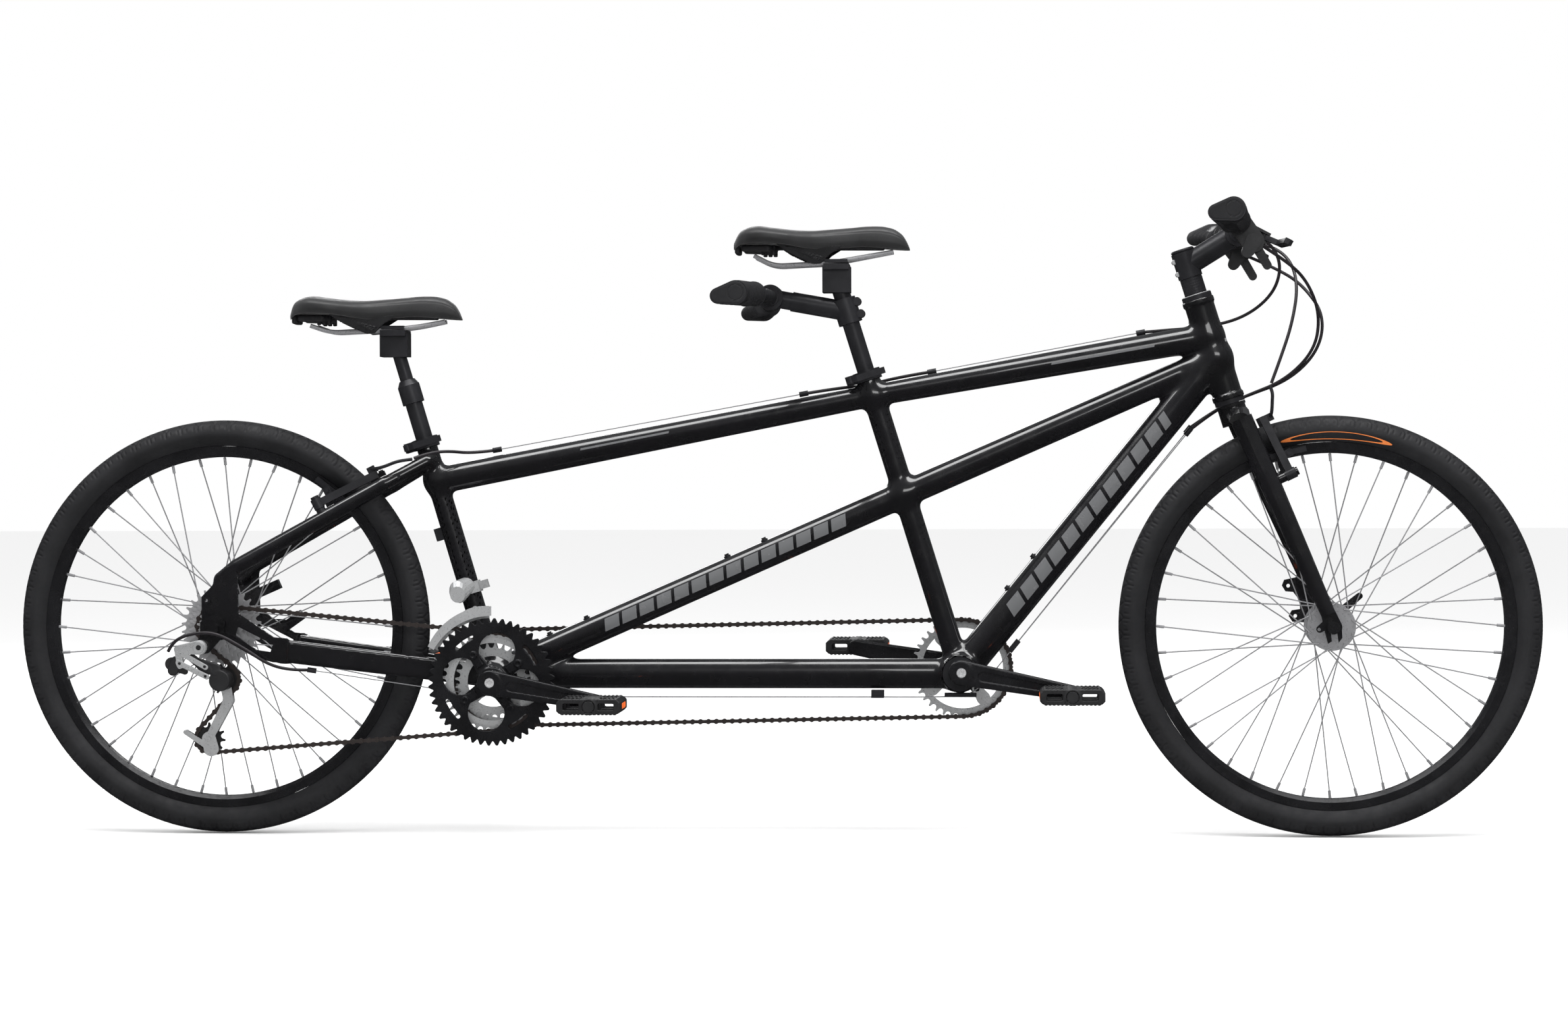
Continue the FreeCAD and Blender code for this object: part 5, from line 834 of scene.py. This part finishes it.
def reflector_field(p):
    """A flat lens at the front and the back of one pedal."""
    x, z = np.abs(p[:, 0]), np.abs(p[:, 2])
    return np.max([np.abs(x - 49.0) - 1.0, np.abs(p[:, 1] - 47.0) - 22.0, z - 4.5], axis=0)


def pedal_pieces():
    cranks = (("rear", REAR_CRANK, 170.0), ("front", FRONT_CRANK, 172.5))
    for tag, centre, reach in cranks:
        for side, word in ((-1, "right"), (1, "left")):
            foot = around(centre, reach, CRANK_ANGLE + (0 if side < 0 else 180), side * 84.0)
            name = f"{tag}_{word}_pedal"

            def local(p, foot=foot, side=side):
                q = p - foot
                return np.column_stack([q[:, 0], side * q[:, 1], q[:, 2]])

            low = foot + (-54, -2 if side > 0 else -96, -16)
            high = foot + (54, 96 if side > 0 else 2, 16)
            field_piece(name + "_platform", lambda p: pedal_field(local(p)), low, high, 1.2,
                        pedal_plastic, name, [name])
            field_piece(name + "_reflectors", lambda p: reflector_field(local(p)), low, high, 1.0,
                        reflector_orange, name)


pedal_pieces()

# ---- rear derailleur -----------------------------------------------------------------
HANGER = np.array((-893.0, 0, 299.0))
GUIDE = np.array((-862.0, 0, 246.5))


def from_hanger(dx, dz):
    return HANGER + (dx, 0, dz)


def flat_part(p, a, b, ra, rb, y0, y1, edge=1.0):
    return slab(p, flat_link(p, a, b, ra, rb), y0, y1, edge)


def mech_silver(p):
    knuckle = flat_part(p, HANGER, from_hanger(-33, -3), 11.5, 6.5, -96.5, -85.0, 2.0)
    bolt = drum(p, HANGER + (0, -98.8, 0), HANGER + (0, -80, 0), 8.6, 0.8)
    links = [
        flat_part(p, from_hanger(-30, -8), from_hanger(10, -31), 4.2, 4.2, -95.0, -92.0),
        flat_part(p, from_hanger(-33, -24), from_hanger(12, -46), 4.2, 4.4, -95.0, -92.0),
        flat_part(p, from_hanger(-33, -3), from_hanger(-31, -28), 6.5, 5.5, -94.0, -86.0, 1.5),
    ]
    socket = drum(p, HANGER + (0, -102, 0), HANGER + (0, -95.5, 0), 4.0, 0.3)
    return carve(melt([knuckle, bolt, *links], 1.6), socket)


def mech_black(p):
    lower = flat_part(p, from_hanger(4, -28), from_hanger(24, -34), 9.0, 9.5, -91.5, -84.8, 2.5)
    disc_part = drum(p, GUIDE + (0, -91.8, 0), GUIDE + (0, -57.5, 0), 16.6, 2.0)
    web = flat_part(p, from_hanger(-12, -17), from_hanger(12, -36), 6.5, 7.0, -91.0, -86.0, 1.5)
    cable_arm = flat_part(p, from_hanger(-45, -26), from_hanger(-24, -38), 10.5, 5.0, -91.5, -84.5, 3.0)
    boot = flat_part(p, from_hanger(-38, -20), from_hanger(-42, -36), 6.5, 8.5, -93.8, -88.0, 2.0)
    hex_bolt = drum(p, HANGER + (0, -97.0, 0), HANGER + (0, -95.4, 0), 4.2, 0.3)
    rivets = [drum(p, from_hanger(x, z) + (0, -96.0, 0), from_hanger(x, z) + (0, -92, 0), 2.4, 0.6)
              for x, z in ((-29, -8), (9, -30), (-31, -25), (10, -45))]
    return melt([melt([lower, disc_part, web], 3.0), cable_arm, boot, hex_bolt, *rivets], 1.0)


MECH_LOW, MECH_HIGH = (-955, -101, 226), (-840, -55, 316)
field_piece("mech_links", mech_silver, MECH_LOW, MECH_HIGH, 1.2, silver, "frame",
            ["rear_derailleur"])
field_piece("mech_knuckles", mech_black, MECH_LOW, MECH_HIGH, 1.2, black_plastic, "frame")

# ---- stem details and head badge -----------------------------------------------------
def steer_point(distance):
    return HEAD_TOP + HEAD_AXIS * distance


def stem_trim(p):
    spacers = [drum(p, steer_point(9 + 4.2 * k), steer_point(12.6 + 4.2 * k), 17.6, 0.8) for k in range(6)]
    cap = drum(p, steer_point(77.2), steer_point(81.5), 18.2, 1.6)
    return np.min([*spacers, cap], axis=0)


def stem_bolts(p):
    back = np.array((-HEAD_AXIS[2], 0, HEAD_AXIS[0]))
    spots = [steer_point(h) + back * 17.5 for h in (46, 66)]
    heads = [drum(p, c + (0, -9, 0), c + (0, 9, 0), 4.0, 0.6) for c in spots]
    ring = drum(p, steer_point(6.6), steer_point(8.4), 22.6, 0.5)
    return np.min([*heads, ring], axis=0)


def badge(p):
    centre = (HEAD_LOW + HEAD_TOP) / 2
    up = HEAD_AXIS
    rel = p - centre
    h = rel @ up
    from_axis = length(rel - h[:, None] * up)
    oval = np.hypot(h / 26.0, rel[:, 1] / 14.0) - 1.0
    return np.max([oval * 13.0, np.abs(from_axis - 23.6) - 0.9, -(rel[:, 0])], axis=0)


field_piece("stem_spacers", stem_trim, (620, -30, 835), (690, 30, 930), 1.2, black_alloy, "steering")
field_piece("stem_bolts", stem_bolts, (610, -32, 835), (700, 32, 930), 1.0, silver, "steering")
field_piece("head_badge", badge, (660, -20, 725), (725, 20, 795), 0.9, silver, "frame")

# ---- saddles -------------------------------------------------------------------------
# Distances from the tail and from the highest point of the seat, for the captain's 275 mm saddle.
SEAT_TOP_LINE = [(0, -25), (8, -11), (22, -2.5), (34, 0), (60, -2.5), (86, -5.5), (118, -7), (150, -5),
                 (184, -2.5), (216, -0.5), (238, -2), (255, -8), (266, -18), (272, -29), (274.8, -36)]
SEAT_EDGE_LINE = [(0, -38), (10, -32), (22, -30), (50, -29), (84, -32), (110, -36), (138, -38), (168, -36),
                  (200, -34), (238, -36), (262, -38), (274.8, -39)]
SEAT_HALF_WIDTH = [(0, 30), (6, 46), (18, 62), (36, 73), (58, 75.5), (82, 70), (104, 57), (128, 43), (152, 34),
                   (180, 28), (210, 24.5), (240, 21.5), (260, 17.5), (270, 12), (274.8, 6)]


def curve_through(table, x):
    """Smooth values at x through a table of stations."""
    xs, ys = np.array(table, float).T
    slopes = np.gradient(ys, xs)
    i = np.clip(np.searchsorted(xs, x) - 1, 0, len(xs) - 2)
    span = xs[i + 1] - xs[i]
    t = np.clip((x - xs[i]) / span, 0.0, 1.0)
    a = (2 * t**3 - 3 * t**2 + 1) * ys[i] + (t**3 - 2 * t**2 + t) * span * slopes[i]
    return a + (3 * t**2 - 2 * t**3) * ys[i + 1] + (t**3 - t**2) * span * slopes[i + 1]


def saddle_cover(name, tail_x, stretch, top_z, body, replaces):
    tail, middle, nose = np.linspace(0, 12, 9), np.linspace(12, 262, 84), np.linspace(262, 274.8, 10)
    stations = np.concatenate([tail[:-1], middle[:-1], nose])
    top = curve_through(SEAT_TOP_LINE, stations)
    edge = np.minimum(curve_through(SEAT_EDGE_LINE, stations), top - 3.0)
    half = curve_through(SEAT_HALF_WIDTH, stations)
    widest = top - 0.66 * (top - edge)
    points = []
    turns = np.linspace(0, np.pi, 49)
    skirt = np.linspace(0, 1, 7)[1:]
    for x, t, e, w, m in zip(stations, top, edge, half, widest):
        arch = []
        for a in turns:
            c, sn = math.cos(a), math.sin(a)
            y = w * math.copysign(abs(c) ** 0.82, c)
            z = m + (t - m) * abs(sn) ** 0.62
            valley = 1.6 * math.exp(-(y / 9.0) ** 2) * min(1.0, max(0.0, (200 - x) / 60)) * min(1.0, x / 40)
            seam = 0.7 * math.exp(-((abs(c) - 0.93) / 0.012) ** 2)
            arch.append((y - math.copysign(seam, y) * abs(c), z - valley))
        right = [(w - 5.5 * k * k, m + (e - m) * k) for k in skirt]
        under = [(w - 9.0, e + 2.0), ((w - 9.0) * 0.6, (e + m) / 2 + 1.0)]
        ring = arch[::-1] + right + under
        ring += [(-y, z) for y, z in reversed(right + under)]
        points += [(tail_x + x * stretch, y, top_z + z) for y, z in ring]
    n = len(turns) + 2 * (len(skirt) + 2)
    faces = []
    for i in range(len(stations) - 1):
        for k in range(n):
            j = (k + 1) % n
            faces.append((i * n + k, i * n + j, (i + 1) * n + j, (i + 1) * n + k))
    faces.append(tuple(range(n))[::-1])
    faces.append(tuple((len(stations) - 1) * n + k for k in range(n)))
    piece = add_piece(name, points, faces, cover, body, replaces=replaces)
    return piece


WING = [(70, -30), (98, -33), (128, -34), (168, -33), (150, -44), (136, -58), (124, -59), (104, -50), (86, -41)]


def saddle_base(name, tail_x, stretch, top_z, body):
    """Moulded base under the cover: side wings with ribs, pan and rear bumper."""
    origin = np.array((tail_x, 0, top_z))

    def base_field(p):
        q = mirror_y(p - origin)
        q[:, 0] = q[:, 0] / stretch
        lean = q.copy()
        spread = np.interp(q[:, 0], [60, 100, 130, 170], [58, 50, 38, 27])
        lean[:, 1] = q[:, 1] - spread - 0.42 * (q[:, 2] + 34)
        wing = slab(lean, outline_distance(q[:, 0], q[:, 2], WING) - 1.5, -2.6, 0.0, 1.0)
        ribs = [slab(lean, np.abs(q[:, 2] + 35 + (0.28 + 0.1 * k) * (q[:, 0] - 84 - 4 * k)) - 0.8, -1.0, 1.2, 0.4)
                for k in range(4)]
        inner = outline_distance(q[:, 0], q[:, 2], WING) + 2.5
        ribs = np.maximum(np.min(ribs, axis=0), inner)
        pan = bar(q, (30, 0, -33), (235, 0, -35), (0, 0, 1), 14.0, 3.0, 2.5)
        rear = bar(q, (16, 14, -35), (62, 30, -36), (0, 0, 1), 17.0, 5.5, 4.5)
        lip = bar(q, (5, 0, -38), (5, 26, -37), (0, 0, 1), 4.0, 6.5, 3.0)
        knobs = [drum(q, (x, 24, -46), (x, 24, -30), 3.4, 1.2) for x in (46, 54, 62)]
        return melt([wing, ribs, melt([pan, rear, lip], 5.0), *knobs], 1.2)

    low = (tail_x - 6, -78, top_z - 64)
    high = (tail_x + 280 * stretch, 78, top_z - 20)
    return field_piece(name, base_field, low, high, 1.6, black_plastic, body)


saddle_cover("captain_saddle_cover", -55.5, 1.0, 956.5, "captain_seat", ["captain_saddle"])
saddle_base("captain_saddle_base", -55.5, 1.0, 956.5, "captain_seat")
saddle_cover("stoker_saddle_cover", -759.0, 269 / 274.8, 851.5, "stoker_seat", ["stoker_saddle"])
saddle_base("stoker_saddle_base", -759.0, 269 / 274.8, 851.5, "stoker_seat")


# ---- handlebar grips -----------------------------------------------------------------
grip_rubber = rubber("grip_rubber")


def grip_pair(name, clamp, end, half, body):
    clamp, end = np.array(clamp, float), np.array(end, float)

    def grip_field(p):
        y = np.abs(p[:, 1])
        t = np.clip((y - 60.0) / (half - 60.0), 0.0, 1.2)
        along_grip = np.clip((y - 166.0) / (half - 164.5), 0.0, 1.0)
        centre = clamp + t[:, None] * (end - clamp)
        wing = np.stack([-12.0 - 14.0 * along_grip, np.full(len(y), -5.0)], -1)
        rel = p[:, [0, 2]] - centre
        s = np.clip((rel * wing).sum(-1) / (wing * wing).sum(-1), 0.0, 1.0)
        flat = length(rel - s[:, None] * wing) - (18.3 - 6.0 * s)
        ribs = 0.45 * np.cos(y * 2 * np.pi / 4.2) * (along_grip < 0.86) * (along_grip > 0.1)
        collar = -1.6 * np.exp(-((y - 169.5) / 3.0) ** 2)
        tip_ring = 0.5 * np.exp(-((length(rel) - 11.5) / 0.7) ** 2) * (y > half)
        middle, reach = (166.0 + half + 1.5) / 2, (half + 1.5 - 166.0) / 2
        return box_distance(np.stack([flat + ribs + collar, np.abs(y - middle) - reach - 0.4 + tip_ring], -1), 3.5)

    xs = sorted((clamp[0], end[0]))
    zs = sorted((clamp[1], end[1]))
    for side, tag in ((-1, "right"), (1, "left")):
        ys = sorted((side * 160.0, side * (half + 6.0)))
        low, high = (xs[0] - 46, ys[0], zs[0] - 30), (xs[1] + 26, ys[1], zs[1] + 26)
        field_piece(f"{name}_{tag}_grip", grip_field, low, high, 1.5, grip_rubber, body)


grip_pair("captain", (731.3, 941.0), (705.0, 957.5), 289.0, "steering")
grip_pair("stoker", (0.5, 845.0), (-32.0, 839.0), 294.0, "captain_seat")


# ---- control cables ------------------------------------------------------------------
def cable_piece(name, routes, radius, mat, body, replaces=()):
    """Smooth cables through the routes' points, as one mesh."""
    data = bpy.data.curves.new(name, "CURVE")
    data.dimensions = "3D"
    data.bevel_depth = radius * MM
    data.bevel_resolution = 4
    data.use_fill_caps = True
    data.resolution_u = 14
    for points in routes:
        spline = data.splines.new("NURBS")
        spline.points.add(len(points) - 1)
        for knot, p in zip(spline.points, points):
            knot.co = (p[0] * MM, p[1] * MM, p[2] * MM, 1.0)
        spline.order_u = 3
        spline.use_endpoint_u = True
    curve = bpy.data.objects.new(name + "_path", data)
    bpy.context.collection.objects.link(curve)
    bpy.context.view_layer.update()
    mesh = bpy.data.meshes.new_from_object(curve.evaluated_get(bpy.context.evaluated_depsgraph_get()))
    bpy.data.objects.remove(curve)
    mesh.name = name
    mesh.materials.clear()
    mesh.materials.append(mat)
    mesh.shade_smooth()
    piece = bpy.data.objects.new(name, mesh)
    bpy.context.collection.objects.link(piece)
    if body:
        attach(piece, body)
    if replaces:
        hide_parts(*replaces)
    return piece


LEVER_PIVOT = (760.574, 926.182)
RIGHT_EXIT, LEFT_EXIT = (LEVER_PIVOT[0], -89.4, LEVER_PIVOT[1]), (LEVER_PIVOT[0], 89.4, LEVER_PIVOT[1])
FRONT_BRAKE = [LEFT_EXIT, (775, 60, 930), (812, 25, 905), (823, -10, 860), (812, -34, 800), (793, -47, 745),
               (778.3, -48.5, 705.7)]
REAR_BRAKE = [RIGHT_EXIT, (780, -62, 918), (796, -30, 885), (785, 4, 845), (745, 34, 812), (690, 42, 797),
              (630, 26, 792), (583, 14, 788)]


def shift_route(side, spread):
    start = (758.03, side * 138.0, 912.06)
    return [start, (804, side * 92, 888), (836, side * 40 - 12, 858), (857 + spread, -6, 812),
            (850 + spread, 6, 758), (806 + spread, 30, 712), (746, 44 + spread, 688), (700, 40 + spread, 668),
            (656, 16 + spread, 634 + spread / 2)]


REAR_STOP = (-724, -62, 262)
REAR_LOOP = [REAR_STOP, (-750, -72, 262), (-784, -92, 272), (-822, -101, 300), (-866, -105, 324),
             (-905, -104, 321), (-933, -100, 309), (-942, -93, 293)]
BRAKE_TAIL = [(-440, 14, 607), (-476, 8, 602), (-512, -24, 606), (-540, -40, 602), (-559.6, -48.2, 594.5)]
SEAT_HOP = [(250, 14, 727.5), (190, 23, 718), (150, 27, 706), (110, 23, 704), (54, 12, 694.5)]
WIRES = [
    [(583, 14, 788), (250, 14, 727.5)],
    [(54, 12, 694.5), (-440, 14, 607)],
    [(656, 16, 634), (381, -6, 296), (322, -8, 222.5), (282, -8, 216.5), (167, -8, 216.5), (-420, -8, 216.5),
     (-470, -30, 221), REAR_STOP],
    [(656, 22.5, 637.25), (381, -2, 296), (322, -2, 222.5), (282, -2, 216.5), (167, -2, 216.5), (-440, -2, 216.5)],
]
cable_piece("front_brake_housing", [FRONT_BRAKE], 2.5, cable_jacket, "steering",
            ["front_brake_cable"])
rear_brake_housing = cable_piece("rear_brake_housing", [REAR_BRAKE], 2.5, cable_jacket, None,
                                 ["steering_cables"])
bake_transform(rear_brake_housing)
shift_housings = cable_piece("shift_housings", [shift_route(-1, 0.0), shift_route(1, 6.5)], 2.5, cable_jacket,
                             None)
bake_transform(shift_housings)
cable_piece("frame_housings", [REAR_LOOP, BRAKE_TAIL, SEAT_HOP], 2.5, cable_jacket, "frame",
            ["frame_cables"])
cable_piece("inner_wires", WIRES, 0.8, steel, "frame")
